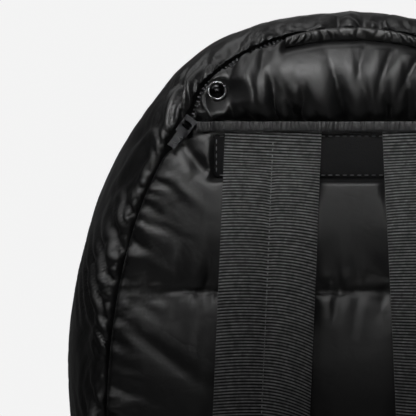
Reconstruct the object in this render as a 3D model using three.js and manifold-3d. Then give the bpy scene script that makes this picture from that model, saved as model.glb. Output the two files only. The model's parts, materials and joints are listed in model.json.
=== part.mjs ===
// A puffer backpack that stands on its base: quilted nylon walls round a hollow main compartment,
// a zip over the top of the back, two wide ribbed webbing straps, a leather patch and two snaps.
// Millimetres. +Z is up, +X is to the right seen from the strap side, and the strap side faces -Y.
// The origin is the middle of the flat base.

import * as THREE from 'three';
import { mergeVertices } from 'three/addons/utils/BufferGeometryUtils.js';
import Module from 'manifold-3d';

const wasm = await Module();
wasm.setup();

// Main body
const WIDTH = 320;
const HEIGHT = 400;
const DEPTH = 150;            // back seam to front seam
const HALF_WIDTH = WIDTH / 2;
const HALF_DEPTH = DEPTH / 2;
const GAP = 0.3;              // clearance between neighbouring pieces
const SEAM_PARTING = 0.85 * GAP;   // half the clearance along a closed seam
const PAD = 13;               // padded gusset wall at its fullest
const SEAM_WALL = 4;          // padded wall where it is sewn down
const BOXINESS = 0.88;        // below 1 the gusset's section is squarer than a half circle

// Quilting of the back and front
const CHANNEL_PUFF = 9;       // how far a channel stands out between its seams
const CHANNEL_ROUND = 0.55;   // below 1 the channels are fuller near their seams
const BACK_BULGE = 4;         // crown of the whole back panel
const FRONT_BULGE = 22;       // crown of the whole front panel
const FOLD_AT_SEAM = 0.35;    // share of a fold's depth that is left where a seam crosses it
const YOKE_PUFF = 15;         // how far the yoke stands out
const YOKE_ROUND = 0.6;       // below 1 the yoke is fuller near its foot and its top
const FRONT_ROUND = 0.8;      // the same for the crown of the front
const SHOULDER = { back: 5, yoke: 3, front: 4 };   // higher keeps a panel full nearer its side edges

// Zip
const GROOVE = 6;             // between the yoke's edge and the gusset's edge
const TAPE_THICK = 1.1;
const TEETH_WIDTH = 4.2;
const TEETH_THICK = 1.5;
const TEETH_DEEP = 0.1;       // front of the teeth, in from the seam plane
const SLIDER_FACE = -0.25;    // back of a slider, out from the seam plane
const SLIDER = { long: 11, wide: 7.4, thick: 2.6, ear: 1 };
SLIDER.up = 0.55;             // sections above the zip's end
const PIN_RADIUS = 0.7;
const PIN_CLEAR = 0.35;       // between the pin and the pull's eye
const PULL = { long: 15, wide: 4.6, thick: 1.4, eye: 1.1 };

// Trim of the back
const PATCH = { wide: 155, tall: 25, thick: 1.7, corner: 2.5, below: 7, out: 4.5 };
const STRIP = { fromSeam: 3.88, tall: 5.8, thick: 1.3, clear: 4.5, ramp: 5, pleat: 0.2, pitch: 8 };
const SNAP = { across: 11, cap: 8.2, rimTall: 1.2, capTall: 2.6, edge: 0.9, wallClear: 0.5 };
SNAP.over = 1.26;             // past the yoke's edge at the zip
SNAP.above = 17;              // above the yoke seam
SNAP.sunk = 1.6;              // into the yoke's padding
SNAP.shoulder = { share: 0.6, in: 0.4 };   // where the rim's outer wall starts to lean in, and how far
const HANDLE = { span: 74, wide: 7, thick: 2.6, rise: 5, out: 1, back: 2, pinch: 0.25 };

// Shoulder straps
const STRAP = { wide: 54, thick: 4.2, endThick: 2.6, groove: 1.2, round: 0.6 };
STRAP.top = 43.8;             // from the middle line at its sewn top
STRAP.lean = 2.5;             // degrees outward
STRAP.slack = 26;             // how far it stands off the back at most
const STRAP_END = { wide: 28, taper: 26, clear: 6, tail: 14, swell: 0.1 };
const RING = { wide: 36, bar: 3.2, slot: 8, thick: 3.2, at: 72 };
const WEBBING = { wide: 25, thick: 1.8, foot: 23, tail: 12 };

// One row for each section round the body, from the middle of the base up one side to the top.
// rimX, rimZ: the section's outermost point. seamX, seamZ: its back and front seams.
// back, front: how far the seams lie from the middle plane. flat: above 1 flattens the section.
// X values are shares of half the width, Z values of the height, back and front of half the depth.
const SECTIONS = [
  { rimX: 0.000, rimZ: 0.000, seamX: 0.000, seamZ: 0.045, back: 0.93, front: 0.93, flat: 1.30 },
  { rimX: 0.280, rimZ: 0.000, seamX: 0.260, seamZ: 0.045, back: 0.93, front: 0.93, flat: 1.30 },
  { rimX: 0.520, rimZ: 0.000, seamX: 0.480, seamZ: 0.045, back: 0.93, front: 0.93, flat: 1.30 },
  { rimX: 0.715, rimZ: 0.034, seamX: 0.630, seamZ: 0.083, back: 0.96, front: 0.96, flat: 1.12 },
  { rimX: 0.845, rimZ: 0.112, seamX: 0.722, seamZ: 0.145, back: 0.99, front: 1.00, flat: 1.00 },
  { rimX: 0.935, rimZ: 0.232, seamX: 0.805, seamZ: 0.260, back: 1.00, front: 1.02, flat: 1.00 },
  { rimX: 0.975, rimZ: 0.365, seamX: 0.855, seamZ: 0.375, back: 1.00, front: 1.02, flat: 1.00 },
  { rimX: 1.000, rimZ: 0.485, seamX: 0.855, seamZ: 0.490, back: 1.00, front: 1.00, flat: 1.00 },
  { rimX: 0.984, rimZ: 0.585, seamX: 0.820, seamZ: 0.605, back: 1.00, front: 0.96, flat: 1.00 },
  { rimX: 0.930, rimZ: 0.690, seamX: 0.756, seamZ: 0.705, back: 1.00, front: 0.91, flat: 1.00 },
  { rimX: 0.806, rimZ: 0.808, seamX: 0.665, seamZ: 0.790, back: 0.99, front: 0.84, flat: 1.00 },
  { rimX: 0.650, rimZ: 0.901, seamX: 0.568, seamZ: 0.843, back: 0.96, front: 0.77, flat: 1.00 },
  { rimX: 0.520, rimZ: 0.946, seamX: 0.506, seamZ: 0.894, back: 0.92, front: 0.71, flat: 1.00 },
  { rimX: 0.370, rimZ: 0.976, seamX: 0.362, seamZ: 0.937, back: 0.88, front: 0.66, flat: 1.00 },
  { rimX: 0.190, rimZ: 0.993, seamX: 0.195, seamZ: 0.960, back: 0.85, front: 0.63, flat: 1.00 },
  { rimX: 0.000, rimZ: 1.000, seamX: 0.000, seamZ: 0.966, back: 0.84, front: 0.62, flat: 1.00 },
];
const TOP = SECTIONS.length - 1;
const CORNER = 2;             // section where the base meets the gusset
const YOKE_SEAM = 11;         // section level with the seam under the yoke
const ZIP_END = 10.3;         // section where the zip stops
const CHANNEL_SEAMS = [4, 6, 8];   // sections level with the channel seams
const STEPS = 4;              // mesh steps between two sections
const FRONT_ROW_STEPS = 2;    // the same in the front
const ACROSS_STEPS = { band: 10, panel: 16, yoke: 32, strip: 48, zip: 36, handle: 16, strap: 8 };
const YOKE_UP_STEPS = 8;
const HALVINGS = 40;          // in the search for a section

// Folds of the back panel and the yoke, one row each. x, z: middle of the fold. turn: degrees from level.
// long, wide: its size. deep: sunk if above 0. Shares of half the width, the height and the padding.
const BACK_FOLDS = [
  { x: -0.545, z: 0.785, turn: -45, long: 0.17, wide: 0.050, deep: 0.38 },
  { x: -0.610, z: 0.752, turn: -38, long: 0.16, wide: 0.045, deep: -0.16 },
  { x: -0.715, z: 0.700, turn: -20, long: 0.18, wide: 0.045, deep: 0.22 },
  { x: -0.760, z: 0.588, turn: -32, long: 0.16, wide: 0.045, deep: 0.20 },
  { x: -0.690, z: 0.524, turn: -36, long: 0.36, wide: 0.060, deep: 0.20 },
  { x: -0.780, z: 0.470, turn: -24, long: 0.18, wide: 0.050, deep: 0.18 },
  { x: 0.715, z: 0.690, turn: 24, long: 0.18, wide: 0.045, deep: 0.22 },
  { x: 0.560, z: 0.780, turn: 45, long: 0.17, wide: 0.050, deep: 0.34 },
  { x: 0.745, z: 0.560, turn: 30, long: 0.22, wide: 0.050, deep: 0.20 },
  { x: 0.700, z: 0.440, turn: 28, long: 0.24, wide: 0.060, deep: 0.18 },
  { x: -0.700, z: 0.310, turn: -28, long: 0.24, wide: 0.060, deep: 0.18 },
  { x: 0.690, z: 0.270, turn: 25, long: 0.22, wide: 0.060, deep: 0.18 },
];
const YOKE_FOLDS = [
  { x: -0.420, z: 0.862, turn: 105, long: 0.13, wide: 0.036, deep: 0.34 },
  { x: -0.350, z: 0.868, turn: 100, long: 0.20, wide: 0.040, deep: -0.22 },
  { x: -0.270, z: 0.866, turn: 98, long: 0.22, wide: 0.042, deep: 0.34 },
  { x: -0.175, z: 0.858, turn: 84, long: 0.14, wide: 0.036, deep: 0.30 },
  { x: 0.125, z: 0.858, turn: 95, long: 0.12, wide: 0.036, deep: 0.28 },
  { x: 0.195, z: 0.862, turn: 80, long: 0.16, wide: 0.040, deep: 0.30 },
  { x: 0.330, z: 0.866, turn: 80, long: 0.20, wide: 0.042, deep: 0.32 },
  { x: 0.430, z: 0.862, turn: 74, long: 0.13, wide: 0.036, deep: 0.30 },
];
// Folds across the gusset. at: section. across: 0 at the back seam, 1 at the front seam.
// slant: sections climbed in crossing the gusset once. long: share of the crossing. wide: in sections.
const GUSSET_FOLDS = [
  { side: -1, at: 5.2, across: 0.16, slant: 2.4, long: 0.20, wide: 0.20, deep: 0.22 },
  { side: -1, at: 6.6, across: 0.15, slant: 2.2, long: 0.18, wide: 0.18, deep: 0.24 },
  { side: -1, at: 7.7, across: 0.14, slant: 2.6, long: 0.22, wide: 0.20, deep: 0.24 },
  { side: -1, at: 8.7, across: 0.15, slant: 2.8, long: 0.20, wide: 0.17, deep: 0.26 },
  { side: -1, at: 9.7, across: 0.16, slant: 2.8, long: 0.22, wide: 0.16, deep: 0.30 },
  { side: -1, at: 10.4, across: 0.20, slant: 2.2, long: 0.24, wide: 0.16, deep: 0.32 },
  { side: -1, at: 11.2, across: 0.20, slant: 1.8, long: 0.22, wide: 0.16, deep: 0.30 },
  { side: -1, at: 12.5, across: 0.12, slant: -2.5, long: 0.18, wide: 0.20, deep: 0.34 },
  { side: -1, at: 13.6, across: 0.18, slant: 0.5, long: 0.24, wide: 0.24, deep: 0.26 },
  { side: 1, at: 5.6, across: 0.16, slant: 2.4, long: 0.20, wide: 0.20, deep: 0.22 },
  { side: 1, at: 7.1, across: 0.15, slant: 2.2, long: 0.20, wide: 0.19, deep: 0.24 },
  { side: 1, at: 8.3, across: 0.15, slant: 2.6, long: 0.20, wide: 0.18, deep: 0.24 },
  { side: 1, at: 9.4, across: 0.16, slant: 2.8, long: 0.22, wide: 0.17, deep: 0.28 },
  { side: 1, at: 10.6, across: 0.18, slant: 2.2, long: 0.24, wide: 0.16, deep: 0.30 },
  { side: 1, at: 12.0, across: 0.14, slant: -1.6, long: 0.18, wide: 0.20, deep: 0.30 },
  { side: 1, at: 14.4, across: 0.20, slant: 0.6, long: 0.26, wide: 0.24, deep: 0.28 },
  { side: -1, at: 6.0, across: 0.86, slant: -2.4, long: 0.20, wide: 0.20, deep: 0.22 },
  { side: -1, at: 8.1, across: 0.85, slant: -2.6, long: 0.22, wide: 0.20, deep: 0.24 },
  { side: -1, at: 10.3, across: 0.84, slant: -2.6, long: 0.22, wide: 0.18, deep: 0.28 },
  { side: -1, at: 13.0, across: 0.84, slant: -0.6, long: 0.24, wide: 0.24, deep: 0.26 },
  { side: 1, at: 5.0, across: 0.86, slant: -2.4, long: 0.20, wide: 0.20, deep: 0.22 },
  { side: 1, at: 7.4, across: 0.85, slant: -2.6, long: 0.22, wide: 0.20, deep: 0.24 },
  { side: 1, at: 9.5, across: 0.84, slant: -2.6, long: 0.22, wide: 0.18, deep: 0.28 },
  { side: 1, at: 12.2, across: 0.84, slant: -0.6, long: 0.24, wide: 0.24, deep: 0.26 },
];

// Side view of a strap, from its sewn top down to its ring. down: share of its drop.
// out: share of the strap's slack by which it stands off the panel.
const STRAP_LINE = [
  { down: 0.00, out: 0.00 },
  { down: 0.08, out: 0.00 },
  { down: 0.15, out: 0.22 },
  { down: 0.23, out: 0.50 },
  { down: 0.36, out: 0.80 },
  { down: 0.54, out: 1.00 },
  { down: 0.74, out: 0.90 },
  { down: 0.90, out: 0.66 },
  { down: 1.00, out: 0.52 },
];
// Side view of the webbing below the ring, from its sewn foot up. out: 0 at its foot, 1 at its ring.
const WEBBING_LINE = [
  { up: 0.00, out: 0.00 },
  { up: 0.30, out: 0.35 },
  { up: 0.70, out: 0.90 },
  { up: 1.00, out: 1.00 },
];

const MATERIALS = {
  nylon: new THREE.MeshStandardMaterial({ color: 0x141416, roughness: 0.34, metalness: 0 }),
  webbing: new THREE.MeshStandardMaterial({ color: 0x232325, roughness: 0.78, metalness: 0 }),
  leather: new THREE.MeshStandardMaterial({ color: 0x0f0f10, roughness: 0.5, metalness: 0 }),
  metal: new THREE.MeshStandardMaterial({ color: 0x2a2a2d, roughness: 0.2, metalness: 1 }),
  plastic: new THREE.MeshStandardMaterial({ color: 0x101012, roughness: 0.4, metalness: 0 }),
};

const { lerp, clamp, smoothstep, degToRad } = THREE.MathUtils;
const HANDLE_LEVEL = HEIGHT * SECTIONS[TOP].seamZ - HANDLE.rise;

// Value of one column of a table at a fractional row, on a Catmull-Rom spline.
function column(table, name, at) {
  const last = table.length - 1;
  const row = clamp(Math.floor(at), 0, last - 1);
  const f = at - row;
  const value = (i) => table[clamp(i, 0, last)][name];
  const [a, b, c, d] = [value(row - 1), value(row), value(row + 1), value(row + 2)];
  const bend = 2 * a - 5 * b + 4 * c - d;
  return b + 0.5 * f * (c - a + f * (bend + f * (3 * (b - c) + d - a)));
}

// Value of a column of a table where another column, which rises from row to row, has a value.
function along(table, over, name, value) {
  const last = table.length - 1;
  const above = table.findIndex((row) => row[over] > value);
  const row = above < 0 ? last - 1 : Math.max(above - 1, 0);
  const span = table[row + 1][over] - table[row][over];
  return column(table, name, row + clamp((value - table[row][over]) / span, 0, 1));
}

// Seam point of a section on one side, moved outward in the seam's own plane.
function seam(at, side, outward) {
  const x = (k) => HALF_WIDTH * column(SECTIONS, 'seamX', k);
  const z = (k) => HEIGHT * column(SECTIONS, 'seamZ', k);
  const span = 0.05;
  const low = Math.max(at - span, 0);
  const high = Math.min(at + span, TOP);
  const dx = x(high) - x(low);
  const dz = at >= TOP ? 0 : z(high) - z(low);
  const size = Math.hypot(dx, dz);
  return {
    x: side * (x(at) + (outward * dz) / size),
    z: z(at) - (outward * dx) / size,
    nx: (side * dz) / size,
    nz: -dx / size,
  };
}

// Half the distance between the pieces on both sides of the back seam.
function parting(at) {
  const open = smoothstep(at, ZIP_END - 0.25, ZIP_END + 0.15);
  return lerp(SEAM_PARTING, GROOVE / 2, open);
}

// Depth of the back seam (end -1) or the front seam (end 1) at a section.
function seamY(at, end) {
  return end * HALF_DEPTH * column(SECTIONS, end < 0 ? 'back' : 'front', at);
}

// Sum of the folds of a flat panel at a point, as a depth.
function panelFolds(folds, x, z) {
  let depth = 0;
  for (const fold of folds) {
    const turn = degToRad(fold.turn);
    const dx = x - fold.x * HALF_WIDTH;
    const dz = z - fold.z * HEIGHT;
    const a = (dx * Math.cos(turn) + dz * Math.sin(turn)) / (0.5 * fold.long * HALF_WIDTH);
    const b = (dz * Math.cos(turn) - dx * Math.sin(turn)) / (0.5 * fold.wide * HALF_WIDTH);
    depth += fold.deep * PAD * Math.exp(-a * a - b * b);
  }
  return depth;
}

// Sum of the folds of the gusset at a section and a share of the way across.
function gussetFolds(at, side, across) {
  let depth = 0;
  for (const fold of GUSSET_FOLDS) {
    const from = fold.side === side ? fold.at : 2 * TOP - fold.at;
    const a = (across - fold.across) / (0.5 * fold.long);
    const slant = fold.slant * (across - fold.across) * Math.sign(0.5 - fold.across);
    const b = (at - from + slant) / (0.5 * fold.wide * 2);
    depth += fold.deep * PAD * Math.exp(-a * a - b * b);
  }
  return depth;
}

// Point of the band that runs round the body, on its outer skin (inset 0) or its lining (inset 1).
function band(at, side, across, inset) {
  const turn = Math.PI * across;
  const lift = Math.min(1, Math.sin(turn) ** BOXINESS * column(SECTIONS, 'flat', at));
  const back = across < 0.5 ? parting(at) : SEAM_PARTING;
  const edge = seam(at, side, back - inset * SEAM_WALL);
  const rimX = side * HALF_WIDTH * column(SECTIONS, 'rimX', at);
  const rimZ = Math.max(0, HEIGHT * column(SECTIONS, 'rimZ', at));
  const near = seamY(at, -1) + inset * SEAM_WALL;
  const far = seamY(at, 1) - inset * SEAM_WALL;
  const sink = inset * PAD + (1 - inset) * gussetFolds(at, side, across);
  const rim = { x: rimX - sink * edge.nx, z: rimZ - sink * edge.nz };
  return new THREE.Vector3(
    lerp(edge.x, rim.x, lift),
    (near + far) / 2 - ((far - near) / 2) * Math.cos(turn),
    lerp(edge.z, rim.z, lift),
  );
}

// Fullness of the quilted channel at a height: 0 on a seam, 1 between two seams.
function channel(z, seams) {
  for (let i = 0; i + 1 < seams.length; i += 1) {
    if (z >= seams[i] && z <= seams[i + 1]) {
      const share = (z - seams[i]) / (seams[i + 1] - seams[i]);
      return Math.sin(Math.PI * share) ** CHANNEL_ROUND;
    }
  }
  return 0;
}

const seamLevel = (at) => HEIGHT * column(SECTIONS, 'seamZ', at);
const YOKE_LEVEL = seamLevel(YOKE_SEAM);
const PATCH_TOP = YOKE_LEVEL - PATCH.below;
const PATCH_FOOT = PATCH_TOP - PATCH.tall;
const BACK_SEAMS = [seamLevel(CORNER), ...CHANNEL_SEAMS.map(seamLevel), YOKE_LEVEL];
const FRONT_SEAMS = [...BACK_SEAMS, HEIGHT * SECTIONS[TOP].seamZ];

// Section whose seam, moved outward, stands at a height.
function sectionAt(level, outward) {
  let [low, high] = [CORNER, TOP];
  for (let i = 0; i < HALVINGS; i += 1) {
    const middle = (low + high) / 2;
    if (seam(middle, 1, outward(middle)).z < level) low = middle;
    else high = middle;
  }
  return (low + high) / 2;
}

// How far a panel's edge lies inside its seam, for its skin (inset 0) or its lining (inset 1).
const panelEdge = (end, inset) => (k) => -(end < 0 ? parting(k) : SEAM_PARTING) - inset * SEAM_WALL;

// Sections level with the back panel's top edge and with the yoke's foot, for skin and lining.
const BACK_TOP = [0, 1].map((inset) => sectionAt(YOKE_LEVEL - GAP, panelEdge(-1, inset)));
const YOKE_FOOT = [0, 1].map((inset) => sectionAt(YOKE_LEVEL + GAP, panelEdge(-1, inset)));

// Place in the seam surface of the back (end -1) or front (end 1), on a row level from side to side.
function levelRow(end, row, u, inset) {
  const stretch = end < 0 ? BACK_TOP[inset] - YOKE_SEAM : 0;
  const at = row + stretch * smoothstep(row, YOKE_SEAM - 2, YOKE_SEAM);
  const edge = seam(at, u < 0 ? -1 : 1, panelEdge(end, inset)(at));
  return { x: Math.abs(u) * edge.x, z: edge.z, plane: seamY(at, end) };
}

// Place above the yoke seam: share 0 lies on the level foot, share 1 on the arc over the top.
function archRow(end, share, u, inset) {
  const open = panelEdge(end, inset);
  const from = end < 0 ? YOKE_FOOT[inset] : YOKE_SEAM;
  const side = u < 0 ? -1 : 1;
  const at = lerp(TOP, from, Math.abs(u));
  const arc = seam(at, side, open(at));
  const foot = seam(from, side, open(from));
  return {
    x: lerp(Math.abs(u) * foot.x, arc.x, share),
    z: lerp(foot.z, arc.z, share),
    plane: lerp(seamY(from, end), seamY(at, end), share),
  };
}

const outFrom = (place, end, out, inset) =>
  new THREE.Vector3(place.x, place.plane + end * (out - inset * SEAM_WALL), place.z);

// Quilted lower back, from the base to the yoke seam.
function backPoint(across, up, inset) {
  const u = 2 * across - 1;
  const place = levelRow(-1, lerp(CORNER, YOKE_SEAM, up), u, inset);
  const edge = Math.sqrt(1 - Math.abs(u) ** SHOULDER.back);
  const full = channel(place.z, BACK_SEAMS);
  const crown = BACK_BULGE * (1 - u * u) * Math.sin(Math.PI * clamp(place.z / YOKE_LEVEL, 0, 1));
  const relief = panelFolds(BACK_FOLDS, place.x, place.z) * (FOLD_AT_SEAM + (1 - FOLD_AT_SEAM) * full);
  const out = inset ? crown : crown + (CHANNEL_PUFF * full - relief) * edge;
  return outFrom(place, -1, out, inset);
}

// Yoke over the top of the back, from its level seam to the zip.
function yokePoint(across, up, inset) {
  const u = 2 * across - 1;
  const place = archRow(-1, up, u, inset);
  const rise = (Math.sin(Math.PI * up) ** YOKE_ROUND) * Math.sqrt(1 - Math.abs(u) ** SHOULDER.yoke);
  const relief = panelFolds(YOKE_FOLDS, place.x, place.z) * Math.min(1, 2 * rise);
  return outFrom(place, -1, inset ? 0 : YOKE_PUFF * rise - relief, inset);
}

// Quilted front, from the base to the arc over the top.
function frontPoint(across, up, inset) {
  const u = 2 * across - 1;
  const row = lerp(CORNER, TOP, up);
  const share = (row - YOKE_SEAM) / (TOP - YOKE_SEAM);
  const place = share <= 0 ? levelRow(1, row, u, inset) : archRow(1, share, u, inset);
  const edge = Math.sqrt(1 - Math.abs(u) ** SHOULDER.front) * Math.min(1, 2 - 2 * share);
  const crown = FRONT_BULGE * (1 - u * u) * Math.sin(Math.PI * up) ** FRONT_ROUND;
  const full = channel(place.z, FRONT_SEAMS);
  const relief = panelFolds(BACK_FOLDS, -place.x, place.z) * (FOLD_AT_SEAM + (1 - FOLD_AT_SEAM) * full);
  return outFrom(place, 1, inset ? crown : crown + (CHANNEL_PUFF * full - relief) * edge, inset);
}

// Closed wall between two skins. outer and inner take shares 0 to 1 of both directions. The inner
// skin has half as many steps, and a rim of triangles joins them, so both counts are even.
function wall(outer, inner, stepsU, stepsV) {
  const points = [];
  const faces = [];
  const outerAt = (i, j) => i * (stepsV + 1) + j;
  const offset = (stepsU + 1) * (stepsV + 1);
  const innerAt = (i, j) => offset + (i / 2) * (stepsV / 2 + 1) + j / 2;
  for (let i = 0; i <= stepsU; i += 1) {
    for (let j = 0; j <= stepsV; j += 1) points.push(outer(i / stepsU, j / stepsV));
  }
  for (let i = 0; i <= stepsU; i += 2) {
    for (let j = 0; j <= stepsV; j += 2) points.push(inner(i / stepsU, j / stepsV));
  }
  const quad = (a, b, c, d) => faces.push([a, b, c], [a, c, d]);
  for (let i = 0; i < stepsU; i += 1) {
    for (let j = 0; j < stepsV; j += 1) {
      quad(outerAt(i, j), outerAt(i + 1, j), outerAt(i + 1, j + 1), outerAt(i, j + 1));
    }
  }
  for (let i = 0; i < stepsU; i += 2) {
    for (let j = 0; j < stepsV; j += 2) {
      quad(innerAt(i, j), innerAt(i, j + 2), innerAt(i + 2, j + 2), innerAt(i + 2, j));
    }
  }
  const loop = [];
  for (let i = 0; i < stepsU; i += 1) loop.push([i, 0]);
  for (let j = 0; j < stepsV; j += 1) loop.push([stepsU, j]);
  for (let i = stepsU; i > 0; i -= 1) loop.push([i, stepsV]);
  for (let j = stepsV; j > 0; j -= 1) loop.push([0, j]);
  for (let n = 0; n < loop.length; n += 2) {
    const a = loop[n];
    const b = loop[n + 1];
    const c = loop[(n + 2) % loop.length];
    faces.push([outerAt(...b), outerAt(...a), innerAt(...a)]);
    faces.push([outerAt(...c), outerAt(...b), innerAt(...c)]);
    faces.push([outerAt(...b), innerAt(...a), innerAt(...c)]);
  }
  return closedGeometry(points, faces);
}

// Geometry of a closed body whose faces point outward, with its doubled points and flat faces gone.
function closedGeometry(points, faces) {
  const geometry = new THREE.BufferGeometry();
  const flat = points.flatMap((p) => [p.x, p.y, p.z]);
  geometry.setAttribute('position', new THREE.Float32BufferAttribute(flat, 3));
  geometry.setIndex(faces.flat());
  const merged = mergeVertices(geometry, 1e-4);
  const index = merged.index.array;
  const kept = [];
  for (let i = 0; i < index.length; i += 3) {
    const [a, b, c] = [index[i], index[i + 1], index[i + 2]];
    if (a !== b && b !== c && c !== a) kept.push([a, b, c]);
  }
  const place = merged.attributes.position;
  const at = (i) => new THREE.Vector3().fromBufferAttribute(place, i);
  let volume = 0;
  for (const [a, b, c] of kept) volume += at(a).dot(at(b).cross(at(c)));
  merged.setIndex((volume < 0 ? kept.map(([a, b, c]) => [a, c, b]) : kept).flat());
  return merged;
}

function solid(geometry) {
  const bare = geometry.clone();
  for (const name of Object.keys(bare.attributes)) if (name !== 'position') bare.deleteAttribute(name);
  const merged = mergeVertices(bare, 1e-4);
  const vertProperties = new Float32Array(merged.attributes.position.array);
  const triVerts = new Uint32Array(merged.index.array);
  return new wasm.Manifold(new wasm.Mesh({ numProp: 3, vertProperties, triVerts }));
}

function fromSolid(body) {
  const mesh = body.getMesh();
  const geometry = new THREE.BufferGeometry();
  geometry.setAttribute('position', new THREE.BufferAttribute(new Float32Array(mesh.vertProperties), 3));
  geometry.setIndex(new THREE.BufferAttribute(new Uint32Array(mesh.triVerts), 1));
  return geometry;
}

const carve = (geometry, cutters) =>
  fromSolid(cutters.reduce((left, cutter) => left.subtract(solid(cutter)), solid(geometry)));
const join = (...parts) => fromSolid(parts.map(solid).reduce((a, b) => a.add(b)));

const bag = new THREE.Group();

function add(name, geometry, material, parent = bag) {
  const mesh = new THREE.Mesh(geometry, MATERIALS[material]);
  mesh.name = name;
  parent.add(mesh);
  return mesh;
}

// Upright slab with rounded corners whose back face lies on y and whose front stands out towards -Y.
function slab(wide, tall, corner, thick, y, foot) {
  const shape = new THREE.Shape();
  const [w, h] = [wide / 2, tall];
  shape.moveTo(-w + corner, 0);
  shape.lineTo(w - corner, 0);
  shape.absarc(w - corner, corner, corner, -Math.PI / 2, 0);
  shape.lineTo(w, h - corner);
  shape.absarc(w - corner, h - corner, corner, 0, Math.PI / 2);
  shape.lineTo(-w + corner, h);
  shape.absarc(-w + corner, h - corner, corner, Math.PI / 2, Math.PI);
  shape.lineTo(-w, corner);
  shape.absarc(-w + corner, corner, corner, Math.PI, 1.5 * Math.PI);
  const settings = { depth: thick, bevelEnabled: false, curveSegments: 4 };
  return new THREE.ExtrudeGeometry(shape, settings).rotateX(Math.PI / 2).translate(0, y, foot);
}

// Zip slider at the end of the zip on one side. The group's own +Z runs up the zip, -Y faces out.
function zipFrame(side) {
  const place = (at) => {
    const point = seam(at, side, 0);
    return new THREE.Vector3(point.x, seamY(at, -1), point.z);
  };
  const at = ZIP_END + SLIDER.up;
  const up = place(at + 0.15).sub(place(at - 0.15)).normalize();
  const across = new THREE.Vector3(0, 1, 0).cross(up).normalize();
  const group = new THREE.Group();
  group.position.copy(place(at));
  const turn = new THREE.Matrix4().makeBasis(across, up.clone().cross(across), up);
  group.quaternion.setFromRotationMatrix(turn);
  return group;
}
const PIN_Y = SLIDER_FACE - SLIDER.thick - PULL.eye - PIN_RADIUS - PIN_CLEAR - GAP;
const FAR = 60;               // how far a seat's cutter reaches out of the bag

function sliderGeometry() {
  const body = new THREE.BoxGeometry(SLIDER.wide, SLIDER.thick, SLIDER.long)
    .translate(0, SLIDER_FACE - SLIDER.thick / 2, 0);
  const earAt = (PULL.wide + SLIDER.ear) / 2 + GAP;
  const earTall = SLIDER_FACE - SLIDER.thick / 2 - PIN_Y + PIN_RADIUS;
  const ears = [-1, 1].map((end) => new THREE.BoxGeometry(SLIDER.ear, earTall, 3 * PIN_RADIUS)
    .translate(end * earAt, PIN_Y - PIN_RADIUS + earTall / 2, 0));
  const pin = new THREE.CylinderGeometry(PIN_RADIUS, PIN_RADIUS, 2 * earAt, 10)
    .rotateZ(Math.PI / 2).translate(0, PIN_Y, 0);
  return join(body, ...ears, pin);
}

// Pull tab hanging from the pin: an eye round the pin and a flat plate below it.
function pullGeometry() {
  const inner = PIN_RADIUS + PIN_CLEAR;
  const reach = inner + PULL.eye;
  const neck = Math.asin(PULL.thick / 2 / reach);
  const outline = new THREE.Shape();
  outline.absarc(0, 0, reach, neck - Math.PI / 2, 1.5 * Math.PI - neck, false);
  outline.lineTo(-PULL.thick / 2, -PULL.long);
  outline.lineTo(PULL.thick / 2, -PULL.long);
  const hole = new THREE.Path();
  hole.absarc(0, 0, inner, 0, 2 * Math.PI, true);
  outline.holes.push(hole);
  const settings = { depth: PULL.wide, bevelEnabled: false, curveSegments: 7 };
  const upright = new THREE.Matrix4().makeBasis(
    new THREE.Vector3(0, 1, 0), new THREE.Vector3(0, 0, 1), new THREE.Vector3(1, 0, 0));
  return new THREE.ExtrudeGeometry(outline, settings)
    .translate(0, 0, -PULL.wide / 2).applyMatrix4(upright).translate(0, PIN_Y, 0);
}

// Room kept free in the padding for a slider and for its pull.
function sliderSeat(side) {
  const room = (wide, low, high, face) => new THREE.BoxGeometry(wide + 2 * GAP, FAR, high - low)
    .translate(0, face - FAR / 2, (low + high) / 2);
  const half = SLIDER.long / 2 + GAP;
  const frame = zipFrame(side);
  frame.updateMatrixWorld(true);
  return [
    room(SLIDER.wide, -half, half, SLIDER_FACE + GAP),
    room(PULL.wide + 1, -PULL.long - 1, 0, PIN_Y + PULL.thick / 2 + 1.5 * GAP),
  ].map((box) => box.applyMatrix4(frame.matrixWorld));
}

// Strip that follows the back seam over the top, between two depths in the groove.
function grooveStrip(half, near, far, from) {
  const place = (along, across, depth) => {
    const run = lerp(from, 2 * TOP - from, along);
    const side = run <= TOP ? 1 : -1;
    const at = run <= TOP ? run : 2 * TOP - run;
    const edge = seam(at, side, half * (2 * across - 1) - depth);
    return new THREE.Vector3(edge.x, seamY(at, -1) + depth, edge.z);
  };
  return wall((p, q) => place(p, q, near), (p, q) => place(p, q, far), ACROSS_STEPS.zip, 2);
}

// Height of the yoke's skin over the back seam plane, as the depth of its nearest point.
function yokeSkinY(x, z) {
  let best = new THREE.Vector3(0, 0, -HEIGHT);
  const tries = 80;
  for (let i = 0; i <= tries; i += 1) {
    for (let j = 0; j <= tries; j += 1) {
      const point = yokePoint(i / tries, j / tries, 0);
      if (Math.hypot(point.x - x, point.z - z) < Math.hypot(best.x - x, best.z - z)) best = point;
    }
  }
  return best.y;
}

const PATCH_BACK = seamY(YOKE_SEAM, -1) - PATCH.out;
const STRAP_BACK = PATCH_BACK - PATCH.thick - GAP;
const STRIP_FOOT = YOKE_LEVEL - GAP - STRIP.tall;
const STRIP_WIDE = 2 * (seam(YOKE_SEAM, 1, 0).x - STRIP.fromSeam);

// Sewn end of the straps under the gathered strip, and how the strip steps over them.
function stripStep(x) {
  const reach = STRAP.wide / 2 + STRIP.clear;
  const over = 1 - smoothstep(Math.abs(Math.abs(x) - STRAP.top), reach, reach + STRIP.ramp);
  return over * (STRAP_BACK - STRAP.endThick - GAP - PATCH_BACK);
}

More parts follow.
